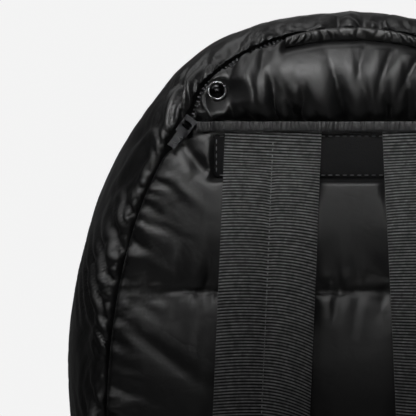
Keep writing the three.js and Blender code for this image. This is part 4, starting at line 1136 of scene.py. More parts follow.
@dataclass
class PaddedBody:
    """The bag's padded nylon walls: gusset, base, quilted back, yoke and quilted front."""

    form: BagForm
    layout: Layout
    finishes: Finishes
    back_steps: tuple[int, int] = (120, 22)
    yoke_steps: tuple[int, int] = (150, 52)
    front_steps: tuple[int, int] = (80, 9)
    gusset_steps: tuple[int, int] = (22, 72)
    base_steps: tuple[int, int] = (60, 48)
    margin: float = 0.35
    near_crumple: float = 0.7
    far_crumple: float = 0.16
    crumple_reach: float = 22.0
    tuck: float = 1.3
    tucks: tuple[float, ...] = (5.3, 7.9)
    cloth: ClothRun = field(default_factory=ClothRun)

    def sewn(self, rows: int, cols: int, level_rows: tuple[int, ...] = ()) -> np.ndarray:
        """Mask of the points that seams hold: the four edges and some whole rows."""
        held = np.zeros((rows, cols), bool)
        held[[0, -1]] = True
        held[:, [0, -1]] = True
        held[list(level_rows)] = True
        return held

    def puckered(self, points: Grid, held: np.ndarray, gathers: list[Gathers], seed: int) -> Grid:
        """Points with gathers along their seams and the crumple of the simulated cloth.

        Args:
            points: the panel's grid.
            held: mask of the points that seams hold.
            gathers: puckers of each seam.
            seed: seed of the cloth's start-up noise.
        """
        lift = sum(each.height(points) for each in gathers) * ~held
        points = points + outward(points) * lift[..., None]
        near = np.minimum.reduce([each.away(points) for each in gathers])
        share = self.far_crumple + (self.near_crumple - self.far_crumple) * np.exp(-(near / self.crumple_reach) ** 2)
        return self.on_floor(points + self.cloth.puckers(points, held, seed) * share[..., None])

    @staticmethod
    def on_floor(points: Grid) -> Grid:
        """Points kept from sinking below the floor that the bag stands on."""
        return np.stack([points[..., 0], points[..., 1], np.maximum(points[..., 2], 0)], -1)

    def lipped(self, points: Grid, at: np.ndarray, side: np.ndarray, away: np.ndarray, way: float) -> Grid:
        """Points moved so that the padding hangs over the zip.

        Args:
            points: the panel's grid.
            at: section nearest to each point.
            side: side of the bag of each point.
            away: distance from the zip's edge of the panel.
            way: 1 for a panel inside the zip, -1 for one outside it.

        Returns:
            The moved grid.
        """
        edge = self.form.seam(at, side, np.zeros_like(at))
        reach = way * self.form.lip_share(at, away)
        return points + np.stack([edge["nx"] * reach, np.zeros_like(reach), edge["nz"] * reach], -1)

    def clear_of_straps(self, points: Grid) -> Grid:
        """Skin pressed back behind the straps, rings and lower webbing of both sides."""
        trim, lay = self.layout.trim, self.layout
        drop = lay.strap_top - trim.ring_at
        climb = lay.low_bar - trim.web_foot
        for side in Side:
            frame = lay.strap_matrix(side)
            points = pressed(points, frame, trim.ring_at, lay.strap_top,
                             lambda z: lay.strap_width(z) / 2 + self.margin,
                             lambda z: lay.strap_y((lay.strap_top - z) / drop) + self.margin)
            points = pressed(points, frame, trim.web_foot, lay.low_bar, constant(trim.web_wide / 2 + self.margin),
                             lambda z: lay.web_y((z - trim.web_foot) / climb) + self.margin)
            tail_face = lay.bar_y + lay.bar_clear + trim.strap_end_thick + self.margin
            points = pressed(points, frame, lay.low_bar - trim.web_tail - 1, trim.ring_at + trim.end_tail + 1,
                             constant(trim.end_wide / 2 + 1), constant(tail_face))
        return points

    def clear_of_patch(self, points: Grid) -> Grid:
        """Skin pressed back behind the leather patch and the gathered strip."""
        trim, lay = self.layout.trim, self.layout
        face = constant(lay.patch_back + self.margin)
        points = pressed(points, Matrix.Identity(4), lay.patch_foot, lay.patch_top,
                         constant(trim.patch_wide / 2 + self.margin), face, 3.2)
        return pressed(points, Matrix.Identity(4), lay.strip_foot, lay.form.yoke_level,
                       constant(trim.strip_wide / 2 + self.margin), face, 2.2)

    def clear_of_zip(self, points: Grid) -> Grid:
        """Skin pressed back behind the sliders and their pulls."""
        trim = self.layout.trim
        for side in Side:
            frame = self.layout.zip_matrix(side)
            half = trim.slider_long / 2 + self.margin
            points = pressed(points, frame, -half, half, constant(trim.slider_wide / 2 + self.margin),
                             constant(trim.slider_face + self.margin), 2.0)
            points = pressed(points, frame, -trim.pull_long - 1, 0, constant(trim.pull_wide / 2 + 0.8),
                             constant(trim.pin_y + trim.pull_thick / 2 + 1.5 * self.margin), 1.6)
        return points

    def clear_of_handle(self, points: Grid) -> Grid:
        """Skin pressed back behind the carry handle."""
        trim, lay = self.layout.trim, self.layout
        u = np.clip(points[..., 0] / (trim.handle_span / 2), -1, 1)
        beside = np.maximum(np.abs(points[..., 0]) - trim.handle_span / 2, 0)
        over = np.maximum(np.abs(points[..., 2] - lay.handle_z(u)) - trim.handle_wide / 2, 0)
        limit = lay.handle_back_y(u) + self.margin - 3.0 * np.hypot(beside, over)
        points = points.copy()
        points[..., 1] = soft_max(points[..., 1], limit, 0.8)
        return points

    def clear_of_snaps(self, points: Grid) -> Grid:
        """Skin pinched in round the two snaps."""
        trim, lay = self.layout.trim, self.layout
        points = points.copy()
        for side in Side:
            away = np.hypot(points[..., 0] - side.value * trim.snap_at, points[..., 2] - lay.snap_level)
            out = np.maximum(away - trim.snap_across / 2 - 0.3, 0)
            limit = trim.snap_face + self.margin - 0.9 * out
            points[..., 1] = soft_max(points[..., 1], limit, 1.6)
        return points

    def back_panel(self) -> bpy.types.Object:
        """Quilted lower back with its channel seams and puckers."""
        form = self.form
        cols, per = self.back_steps
        u, v = shares_grid(cols, per * (form.yoke_seam - form.corner))
        points = form.back_point(u, v, 0)
        seams = tuple((row - form.corner) * per for row in form.channel_seams)
        gathers = [Gathers(row=row, deep=0.8, seed=20 + row) for row in (*seams, 0)]
        gathers += [Gathers(col=0, deep=1.2, seed=3, slant=0.4), Gathers(col=cols, deep=1.2, seed=4, slant=0.4)]
        gathers += [Gathers(col=end, deep=self.tuck, reach=5.5, seed=31, waves=self.tucks) for end in (0, cols)]
        points = self.puckered(points, self.sewn(*u.shape, seams), gathers, 3)
        points = self.clear_of_zip(self.clear_of_patch(self.clear_of_straps(points)))
        return shell("quilted_back", points, form.back_point(u, v, 1), self.finishes.nylon)

    def yoke(self) -> bpy.types.Object:
        """Padded yoke with its gathers over the level seam."""
        form = self.form
        u, v = shares_grid(*self.yoke_steps)
        points = form.yoke_point(u, v, 0)
        gathers = [Gathers(row=0, deep=1.1, reach=14.0, slant=0.3, seed=41, waves=(6.3, 11.0, 17.0, 29.0)),
                   Gathers(row=self.yoke_steps[1], deep=1.1, reach=10.0, slant=0.6, seed=42)]
        points = self.puckered(points, self.sewn(*u.shape), gathers, 5)
        start = form.section_at(form.yoke_level + GAP, 0)
        side = np.where(u < 0.5, -1, 1)
        at = lerp(form.top, start, np.abs(2 * u - 1))
        run = run_length(points, 0)
        points = self.lipped(points, at, side, run[-1][None, :] - run, 1.0)
        points = self.clear_of_snaps(self.clear_of_handle(self.clear_of_zip(points)))
        return shell("padded_yoke", points, form.yoke_point(u, v, 1), self.finishes.nylon)

    def front_panel(self) -> bpy.types.Object:
        """Quilted front that curves in to the base and the top."""
        form = self.form
        cols, per = self.front_steps
        u, v = shares_grid(cols, per * (form.top - form.corner))
        points = form.front_point(u, v, 0)
        seams = tuple((row - form.corner) * per for row in (*form.channel_seams, form.yoke_seam))
        gathers = [Gathers(row=row, deep=0.8, seed=50 + row) for row in (*seams, 0)]
        gathers += [Gathers(col=0, deep=1.0, seed=5, slant=0.5), Gathers(col=cols, deep=1.0, seed=6, slant=0.5)]
        points = self.puckered(points, self.sewn(*u.shape, seams), gathers, 7)
        return shell("quilted_front", points, form.front_point(u, v, 1), self.finishes.nylon)

    def gusset(self) -> bpy.types.Object:
        """Padded band over both sides and the top."""
        form = self.form
        per, across = self.gusset_steps
        clear = GAP / 2 / (form.half_width * (SECTIONS["seamX"][2] - SECTIONS["seamX"][1]))
        v, u = shares_grid(2 * (form.top - form.corner) * per, across)
        run = lerp(form.corner + clear, 2 * form.top - form.corner - clear, v)
        gathers = [Gathers(row=0, deep=1.75, reach=12.0, slant=1.2, seed=61, mirrored=True),
                   Gathers(row=across, deep=1.1, reach=10.0, slant=0.8, seed=62, mirrored=True),
                   Gathers(row=0, deep=self.tuck, reach=5.5, seed=63, waves=self.tucks)]
        points = self.puckered(form.band(run, u, 0), self.sewn(*u.shape), gathers, 11)
        at = np.where(run > form.top, 2 * form.top - run, run)
        points = self.lipped(points, at, np.where(run > form.top, -1, 1), run_length(points, 0), -1.0)
        points = self.clear_of_handle(self.clear_of_zip(points))
        return shell("padded_gusset", points, form.band(run, u, 1), self.finishes.nylon)

    def base(self) -> bpy.types.Object:
        """Padded base between the gusset's two ends."""
        form = self.form
        clear = GAP / 2 / (form.half_width * (SECTIONS["seamX"][2] - SECTIONS["seamX"][1]))
        v, u = shares_grid(*self.base_steps)
        run = lerp(clear - form.corner, form.corner - clear, v)
        return shell("padded_base", form.band(run, u, 0), form.band(run, u, 1), self.finishes.nylon)

    def build(self) -> list[bpy.types.Object]:
        """Builds every wall, each in place of its CAD node."""
        made = []
        for build, node in ((self.gusset, "gusset"), (self.base, "base"), (self.back_panel, "back_panel"),
                            (self.yoke, "back_yoke"), (self.front_panel, "front_panel")):
            piece = build()
            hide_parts(node)
            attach(piece, "bag")
            LOG.info("%s: %d faces", piece.name, len(piece.data.polygons))
            made.append(piece)
        return made


def path_grid(path: dict[str, np.ndarray], half: np.ndarray, across: np.ndarray,
              rise: Callable[[np.ndarray], np.ndarray]) -> Grid:
    """Grid of points over a band that follows a path.

    Args:
        path: the band's inner face from end to end: y, z and the outward ny, nz.
        half: half the band's width at each step.
        across: places across the band, -1 to 1.
        rise: height over the inner face at those places, steps by places.

    Returns:
        Rows along the path, columns across it.
    """
    out = rise(across[None, :])
    x = half[:, None] * across[None, :]
    return np.stack([x, path["y"][:, None] + out * path["ny"][:, None],
                     path["z"][:, None] + out * path["nz"][:, None]], -1)


def moved(points: Grid, frame: Matrix) -> Grid:
    """Points taken from a frame of their own to the bag's."""
    into = np.array(frame)
    return points @ into[:3, :3].T + into[:3, 3]


@dataclass
class ShoulderStrap:
    """One wide ribbed strap with its ring and the webbing below it."""

    side: Side
    layout: Layout
    finishes: Finishes
    rib_pitch: float = 1.72
    rib_tall: float = 0.6
    rib_arc: tuple[float, float] = (2.0, 6.5)
    rib_steps: int = 6
    across_steps: int = 24
    stitch_wide: float = 0.9
    stitch_deep: float = 0.35
    crown: float = 2.1
    web_rib_pitch: float = 1.5
    web_rib_tall: float = 0.22
    thread_pitch: float = 3.4
    thread_long: float = 2.5
    thread_thick: float = 0.7
    thread_out: float = 0.25
    thread_ends: tuple[float, float] = (0.03, 0.9)
    sewn_line: np.ndarray = field(default_factory=lambda: np.zeros((0, 3)), init=False)

    def route(self, line_y: Callable[[np.ndarray], np.ndarray], start: float, bar_z: float, tail: float,
              step: float) -> dict[str, np.ndarray]:
        """Inner face of a band: along its line, round a bar and back behind it.

        Args:
            line_y: depth at shares of the line.
            start: height of the line's sewn end.
            bar_z: height of the bar.
            tail: length behind the bar.
            step: length of a step.

        Returns:
            y, z, ny, nz and the share down, one value a step.
        """
        lay = self.layout
        drop = start - bar_z
        way = math.copysign(1.0, drop)
        down = np.linspace(0, 1, max(2, round(abs(drop) * 1.03 / step)))
        low, high = np.maximum(down - 0.01, 0), np.minimum(down + 0.01, 1)
        slope = (line_y(high) - line_y(low)) / ((high - low) * drop)
        size = np.hypot(1, slope)
        clear = lay.bar_clear
        angle = np.linspace(0, np.pi, max(4, round(np.pi * clear / step)))[1:]
        rest = np.linspace(0, 1, max(2, round(tail / step)))[1:]
        turn_z = bar_z - way * clear * np.sin(angle)
        return {
            "y": np.concatenate([line_y(down), lay.bar_y - clear * np.cos(angle), np.full_like(rest, lay.bar_y + clear)]),
            "z": np.concatenate([start - down * drop, turn_z, bar_z + way * rest * tail]),
            "ny": np.concatenate([-1 / size, -np.cos(angle), np.ones_like(rest)]),
            "nz": np.concatenate([-slope / size, -way * np.sin(angle), np.zeros_like(rest)]),
            "down": np.concatenate([down, np.ones_like(angle), np.ones_like(rest)]),
        }

    def ribs(self, path: dict[str, np.ndarray], pitch: float, u: np.ndarray) -> np.ndarray:
        """Count of ribs from a band's sewn end to each of its points."""
        run = np.concatenate([[0], np.cumsum(np.hypot(np.diff(path["y"]), np.diff(path["z"])))])
        arc = np.where(u < 0, *self.rib_arc) * u ** 2 * self.side.value * -1
        bowed = run[:, None] - arc[None, :] * smoothstep(run, 20.0, 160.0)[:, None]
        return bowed / pitch

    @staticmethod
    def crest(ribs: np.ndarray) -> np.ndarray:
        """Height of the ribs: 0 in the valleys, 1 on their tops."""
        return np.abs(np.sin(np.pi * ribs)) ** 0.8

    def banded(self, name: str, outer: Grid, inner: Grid, ribs: np.ndarray) -> bpy.types.Object:
        """Closed band with its count of ribs kept as an attribute, from which the finish paints shade into the rib
        valleys.
        """
        frame = self.layout.strap_matrix(self.side)
        bm = bmesh.new()
        layer = bm.verts.layers.float.new("rib")
        for vert, height in zip(add_grid(bm, moved(outer, frame)), ribs.reshape(-1)):
            vert[layer] = float(height)
        add_grid(bm, moved(inner, frame))
        closed_up(bm)
        return finished(name, bm, self.finishes.webbing)

    def strap(self) -> bpy.types.Object:
        """The wide strap: two bulged halves of cross ribs with a sewn middle line."""
        trim, lay = self.layout.trim, self.layout
        path = self.route(lay.strap_y, lay.strap_top, trim.ring_at, trim.end_tail, self.rib_pitch / self.rib_steps)
        above = (path["z"] - trim.ring_at) * (path["down"] < 1)
        wide = lay.strap_width(np.where(path["down"] < 1, path["z"], trim.ring_at))
        swell = smoothstep(path["down"], trim.end_swell / 2, 1.5 * trim.end_swell)
        body = swell * smoothstep(above, 0, trim.end_taper)
        u = np.sin(np.linspace(-1, 1, self.across_steps + 1) * np.pi / 2 * 0.94) / math.sin(np.pi / 2 * 0.94)
        ribs = self.ribs(path, self.rib_pitch, u)
        valley = self.crown * (1 - np.abs(np.sin(np.pi * u)) ** 0.6)
        stitch = self.stitch_deep * np.exp(-(u * trim.strap_wide / 2 / self.stitch_wide) ** 2)
        hem = np.clip((1 - np.abs(u)) * trim.strap_wide / 2 / 1.2, 0, 1)

        def rise(_: np.ndarray) -> np.ndarray:
            thick = lerp(trim.strap_end_thick, trim.strap_thick, body)[:, None] - body[:, None] * valley[None, :]
            ribbed = self.rib_tall * (self.crest(ribs) - 1) * hem[None, :] * smoothstep(path["down"], 0.0, 0.03)[:, None]
            return thick + ribbed - stitch[None, :] * body[:, None]

        outer = path_grid(path, wide / 2, u, rise)
        inner = path_grid(path, wide / 2, u, lambda a: np.zeros((len(wide), a.shape[1])))
        sewn = (path["down"] > self.thread_ends[0]) & (path["down"] < self.thread_ends[1])
        middle = blurred(outer[sewn][:, [self.across_steps // 2]], self.rib_steps)[:, 0]
        self.sewn_line = moved(middle - np.array([0, self.thread_out, 0]), lay.strap_matrix(self.side))
        return self.banded(f"ribbed_strap_{self.side.word}", outer, inner, ribs)

    def threads(self) -> bpy.types.Object:
        """Row of stitches down the strap's middle groove."""
        line = self.sewn_line
        run = run_length(line[:, None], 0)[:, 0]
        places = []
        for at in np.arange(self.thread_pitch, run[-1], self.thread_pitch):
            near, far = (Vector([float(np.interp(at + step, run, line[:, k])) for k in range(3)])
                         for step in (-0.5, 0.5))
            places.append(stitch_at((near + far) / 2, far - near, self.thread_long, self.thread_thick))
        return beads(f"strap_threads_{self.side.word}", places, self.finishes.waxed)

    def webbing(self) -> bpy.types.Object:
        """The narrow webbing from the base up to the ring."""
        trim, lay = self.layout.trim, self.layout
        path = self.route(lay.web_y, trim.web_foot, lay.low_bar, trim.web_tail, self.web_rib_pitch / 3)
        u = np.linspace(-1, 1, 13)
        ribs = self.ribs(path, self.web_rib_pitch, u * 0)
        half = np.full(len(ribs), trim.web_wide / 2)
        outer = path_grid(path, half, u, lambda _: trim.web_thick + self.web_rib_tall * (self.crest(ribs) - 1))
        inner = path_grid(path, half, u, lambda a: np.zeros((len(ribs), a.shape[1])))
        return self.banded(f"foot_webbing_{self.side.word}", outer, inner, ribs)

    def ring(self) -> bpy.types.Object:
        """Moulded square ring with rounded bars."""
        trim, lay = self.layout.trim, self.layout
        tall = 2 * trim.ring_bar + trim.ring_slot
        middle = Vector((0, lay.bar_y, (trim.ring_at + lay.low_bar) / 2))
        bm = bmesh.new()
        bmesh.ops.create_cube(bm, size=1.0)
        bmesh.ops.scale(bm, vec=(trim.ring_wide, trim.ring_thick, tall), verts=bm.verts[:])
        faces = [f for f in bm.faces if abs(f.normal.y) > 0.5]
        made = bmesh.ops.inset_individual(bm, faces=faces, thickness=trim.ring_bar, depth=0.0)
        inner = [f for f in bm.faces if abs(f.normal.y) > 0.5 and f not in made["faces"]]
        loops = [e for f in inner for e in f.edges]
        bmesh.ops.delete(bm, geom=inner, context="FACES_ONLY")
        bmesh.ops.bridge_loops(bm, edges=loops)
        bmesh.ops.bevel(bm, geom=bm.edges[:], offset=0.7, offset_type="OFFSET", segments=3, profile=0.5,
                        affect="EDGES", material=-1, clamp_overlap=True)
        bmesh.ops.translate(bm, vec=middle, verts=bm.verts[:])
        bmesh.ops.transform(bm, matrix=Matrix.Scale(MM, 4) @ lay.strap_matrix(self.side), verts=bm.verts[:])
        closed_up(bm)
        return finished(f"square_ring_{self.side.word}", bm, self.finishes.plastic)

    def build(self) -> list[bpy.types.Object]:
        """Builds the strap, its ring and its webbing, each in place of its CAD node."""
        made = []
        for build, node, slot in ((self.strap, "strap", "webbing"), (self.webbing, "lower_webbing", "webbing"),
                                  (self.ring, "strap_ring", "ring_plastic")):
            piece = build()
            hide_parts(f"{node}_{self.side.word}")
            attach(piece, "bag")
            LOG.info("%s: %d faces", piece.name, len(piece.data.polygons))
            made.append(piece)
        threads = self.threads()
        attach(threads, "bag")
        return [*made, threads]


def beads(name: str, places: list[Matrix], material: bpy.types.Material, segments: int = 6) -> bpy.types.Object:
    """Row of small stitches, each a rounded grain of thread.

    Args:
        name: the object's name.
        places: a matrix for each stitch, from a unit ball in millimetres to the bag's frame.
        material: its material.
        segments: faces round a stitch.

    Returns:
        The object.
    """
    bm = bmesh.new()
    for place in places:
        bmesh.ops.create_uvsphere(bm, u_segments=segments, v_segments=5, radius=1.0,
                                  matrix=Matrix.Scale(MM, 4) @ place)
    closed_up(bm)
    return finished(name, bm, material)


def stitch_at(point: Vector, ahead: Vector, long: float, thick: float) -> Matrix:
    """Matrix of one stitch that lies along a direction."""
    turn = ahead.to_track_quat("X", "Z").to_matrix().to_4x4()
    return Matrix.Translation(point) @ turn @ Matrix.Diagonal((long / 2, thick / 2, thick / 2, 1))


@dataclass
class LeatherPatch:
    """Long leather patch behind the straps, with its edge stitched all round."""

    layout: Layout
    finishes: Finishes
    inset: float = 1.6
    pitch: float = 4.1
    stitch_long: float = 3.0
    stitch_thick: float = 0.62
    edge_round: float = 0.45
    bow: float = 0.35

    def slab(self) -> bpy.types.Object:
        """The leather itself, cut with round corners and soft edges, and slightly cushioned."""
        trim, lay = self.layout.trim, self.layout
        bm = bmesh.new()
        bmesh.ops.create_cube(bm, size=1.0)
        bmesh.ops.scale(bm, vec=(trim.patch_wide, trim.patch_thick, trim.patch_tall), verts=bm.verts[:])
        corners = [e for e in bm.edges if abs((e.verts[0].co - e.verts[1].co).y) > 0.5]
        bmesh.ops.bevel(bm, geom=corners, offset=trim.patch_corner, offset_type="OFFSET", segments=5, profile=0.5,
                        affect="EDGES", material=-1)
        rim = [e for e in bm.edges if all(v.co.y < 0 for v in e.verts)]
        bmesh.ops.bevel(bm, geom=rim, offset=self.edge_round, offset_type="OFFSET", segments=3, profile=0.5,
                        affect="EDGES", material=-1)
        for cut in np.linspace(-0.46, 0.46, 24):
            bmesh.ops.bisect_plane(bm, geom=[*bm.verts, *bm.edges, *bm.faces], plane_co=(cut * trim.patch_wide, 0, 0),
                                   plane_no=(1, 0, 0))
        for cut in np.linspace(-0.35, 0.35, 6):
            bmesh.ops.bisect_plane(bm, geom=[*bm.verts, *bm.edges, *bm.faces], plane_co=(0, 0, cut * trim.patch_tall),
                                   plane_no=(0, 0, 1))
        for vert in bm.verts:
            if vert.co.y < 0:
                u, w = 2 * vert.co.x / trim.patch_wide, 2 * vert.co.z / trim.patch_tall
                dip = max(abs(w) * trim.patch_tall / 2 - (trim.patch_tall / 2 - 2 * self.inset), 0) / (2 * self.inset)
                end = max(abs(u) * trim.patch_wide / 2 - (trim.patch_wide / 2 - 2 * self.inset), 0) / (2 * self.inset)
                vert.co.y += self.bow * min(1.0, max(dip, end)) ** 2
        middle = (0, lay.patch_back - trim.patch_thick / 2, (lay.patch_foot + lay.patch_top) / 2)
        bmesh.ops.translate(bm, vec=middle, verts=bm.verts[:])
        bmesh.ops.scale(bm, vec=(MM, MM, MM), verts=bm.verts[:])
        closed_up(bm)
        return finished("stitched_patch", bm, self.finishes.leather)

    def stitches(self) -> bpy.types.Object:
        """Stitches round the patch, each sunk a little at its ends."""
        trim, lay = self.layout.trim, self.layout
        half_x, half_z = trim.patch_wide / 2 - self.inset, trim.patch_tall / 2 - self.inset
        y = lay.patch_back - trim.patch_thick + self.bow * 0.55
        middle = Vector((0, y, (lay.patch_foot + lay.patch_top) / 2))
        places = []
        for long, reach, ahead, out in ((half_x, half_z, Vector((1, 0, 0)), Vector((0, 0, 1))),
                                        (half_z, half_x, Vector((0, 0, 1)), Vector((1, 0, 0)))):
            count = round(2 * (long - 1.0) / self.pitch)
            for sign in (-1, 1):
                for k in range(count):
                    share = (k + 0.5) / count * 2 - 1
                    point = middle + ahead * (share * (long - 1.0)) + out * (sign * reach)
                    places.append(stitch_at(point, ahead, self.stitch_long, self.stitch_thick))
        return beads("patch_stitches", places, self.finishes.waxed)

    def build(self) -> None:
        """Builds the patch in place of its CAD node, and its stitches."""
        slab, stitches = self.slab(), self.stitches()
        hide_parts("leather_patch")
        for piece in (slab, stitches):
            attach(piece, "bag")
        LOG.info("%s: %d faces", slab.name, len(slab.data.polygons))


def pleated(run: np.ndarray, pitch: tuple[float, float], seed: int) -> np.ndarray:
    """Uneven pleats along a run: rounded folds of random width, with sharp valleys between them.

    Args:
        run: places along the run.
        pitch: narrowest and widest fold.
        seed: seed of the widths and depths.

    Returns:
        Heights from -1 to 1.
    """
    rng = np.random.default_rng(seed)
    count = int((run.max() - run.min()) / pitch[0]) + 3
    knots = run.min() - pitch[1] + np.cumsum(rng.uniform(*pitch, count))
    phase = np.interp(run, knots, np.arange(count))
    deep = np.interp(run, knots, rng.uniform(0.4, 1.0, count))
    return deep * (2 * np.abs(np.sin(np.pi * phase)) - 1)


@dataclass
class GatheredStrip:
    """Narrow gathered nylon strip over the sewn tops of the straps."""

    layout: Layout
    finishes: Finishes
    pleat: float = 0.42
    pitch: tuple[float, float] = (1.1, 3.4)
    dip: float = 0.3
    columns: int = 620
    rows: int = 8

    def step(self, x: np.ndarray) -> np.ndarray:
        """How far the strip steps out over the straps' sewn ends."""
        trim, lay = self.layout.trim, self.layout
        reach = trim.strap_wide / 2 + trim.strip_clear
        over = 1 - smoothstep(np.abs(np.abs(x) - trim.strap_at), reach, reach + trim.strip_ramp)
        return over * (lay.strap_back - trim.strap_end_thick - GAP - lay.patch_back)

    def build(self) -> None:
        """Builds the strip in place of its CAD node."""
        trim, lay = self.layout.trim, self.layout
        u, v = shares_grid(self.columns, self.rows)
        x = (u - 0.5) * trim.strip_wide
        pleats = self.pleat * pleated(x + 0.5 * v * np.sin(x / 5.0), self.pitch, 71) * (0.45 + 0.55 * v)
        belly = np.sqrt(np.maximum(0, 1 - (2 * v - 1) ** 2))
        face = lay.patch_back + self.step(x)
        level = lay.patch_back + self.step(np.full_like(x, trim.strap_at))
        front = lerp(level, face, np.where(np.abs(x) < trim.strap_at, self.dip, 1.0))
        z = lay.strip_foot + v * trim.strip_tall
        outer = np.stack([x, front - trim.strip_thick * (0.45 + 0.55 * belly) - pleats, z], -1)
        inner = np.stack([x, face, z], -1)
        # Painted light: the strip uses the lighter copy of the black nylon, so that it looks lit.
        piece = shell("gathered_binding", outer, inner, self.finishes.binding)
        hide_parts("gathered_strip")
        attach(piece, "bag")
        LOG.info("%s: %d faces", piece.name, len(piece.data.polygons))


@dataclass
class CarryHandle:
    """Soft carry handle, gathered where it is sewn down at its two ends."""

    layout: Layout
    finishes: Finishes
    columns: int = 220
    rows: int = 18
    gather: float = 0.6
    pitch: tuple[float, float] = (2.2, 6.5)
    swell: float = 0.9

    def build(self) -> None:
        """Builds the handle in place of its CAD node."""
        trim, lay = self.layout.trim, self.layout
        p, q = shares_grid(self.columns, self.rows)
        u = 2 * p - 1
        x = u * trim.handle_span / 2
        ends = np.abs(u) ** 1.5
        half = trim.handle_wide / 2 * (1 - trim.handle_pinch * u ** 4)
        z = lay.handle_z(u) + half * (2 * q - 1)
        back = lay.handle_back_y(u)
        belly = np.sqrt(np.maximum(0, 1 - (2 * q - 1) ** 2))
        crease = pleated(x + 1.6 * np.sin(3 * q + x / 7.0), self.pitch, 83)
        puff = np.sin(17 * u + 1.1 + 2 * q) * np.sin(5.3 * u + 0.4)
        ripple = self.gather * (0.35 + 0.65 * ends) * crease + self.swell * puff * (1 - ends)
        out = trim.handle_thick * (0.35 + 0.65 * belly) + ripple * belly
        piece = shell("soft_handle", np.stack([x, back - out, z], -1), np.stack([x, back, z], -1),
                      self.finishes.nylon)
        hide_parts("carry_handle")
        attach(piece, "bag")
        LOG.info("%s: %d faces", piece.name, len(piece.data.polygons))


@dataclass
class Snap:
    """Press snap: a plain polished dome in a knurled rim."""

    side: Side
    layout: Layout
    finishes: Finishes
    knurls: int = 40
    knurl_deep: float = 0.25

    def turned(self, name: str, profile: list[tuple[float, float]], steps: int,
               material: bpy.types.Material) -> bpy.types.Object:
        """Spun piece whose axis stands out of the yoke.

        Args:
            name: the object's name.
            profile: radius and height pairs.
            steps: steps of the spin.
            material: its material.

        Returns:
            The object.
        """
        trim, lay = self.layout.trim, self.layout
        bm = bmesh.new()
        verts = [bm.verts.new((r, -h, 0.0)) for r, h in profile]
        edges = [bm.edges.new(pair) for pair in zip(verts[:-1], verts[1:])]
        bmesh.ops.spin(bm, geom=[*verts, *edges], cent=(0, 0, 0), axis=(0, 1, 0), angle=2 * math.pi, steps=steps,
                       use_merge=True)
        bmesh.ops.remove_doubles(bm, verts=bm.verts[:], dist=0.0005)
        if name.startswith("snap_ring"):
            for vert in bm.verts:
                radius = math.hypot(vert.co.x, vert.co.z)
                if radius > trim.snap_across / 2 - 0.3:
                    turn = math.atan2(vert.co.z, vert.co.x)
                    shrink = 1 - self.knurl_deep * (0.5 + 0.5 * math.cos(self.knurls * turn)) / radius
                    vert.co.x *= shrink
                    vert.co.z *= shrink
        place = Matrix.Translation((self.side.value * trim.snap_at, trim.snap_face, lay.snap_level))
        bmesh.ops.transform(bm, matrix=Matrix.Scale(MM, 4) @ place, verts=bm.verts[:])
        closed_up(bm)
        return finished(name, bm, material)

    def build(self) -> None:
        """Builds the rim and the dome in place of their CAD nodes."""
        trim = self.layout.trim
        inner, outer, tall = trim.snap_cap / 2 + GAP / 2, trim.snap_across / 2, trim.snap_rim
        rim = self.turned(f"snap_ring_{self.side.word}", [
            (inner, 0), (outer, 0), (outer, tall * 0.55), (outer - 0.12, tall * 0.8), (outer - 0.45, tall),
            (inner + 0.25, tall * 0.96), (inner, tall * 0.75), (inner, 0)], 4 * self.knurls, self.finishes.bright)
        cap, edge = trim.snap_cap / 2, trim.snap_edge
        dome = [(0.0, 0.0), (cap, 0.0), (cap, edge * 0.8), (cap - 0.12, edge)]
        for k in range(11):
            turn = math.pi / 2 * k / 10
            dome.append(((cap - 0.35) * math.cos(turn), edge + (trim.snap_tall - edge) * math.sin(turn)))
        dome[-1] = (0.0, trim.snap_tall)
        top = self.turned(f"snap_dome_{self.side.word}", dome, 48, self.finishes.metal)
        for piece, node in ((rim, "snap_rim"), (top, "snap_cap")):
            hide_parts(f"{node}_{self.side.word}")
            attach(piece, "bag")
            LOG.info("%s: %d faces", piece.name, len(piece.data.polygons))


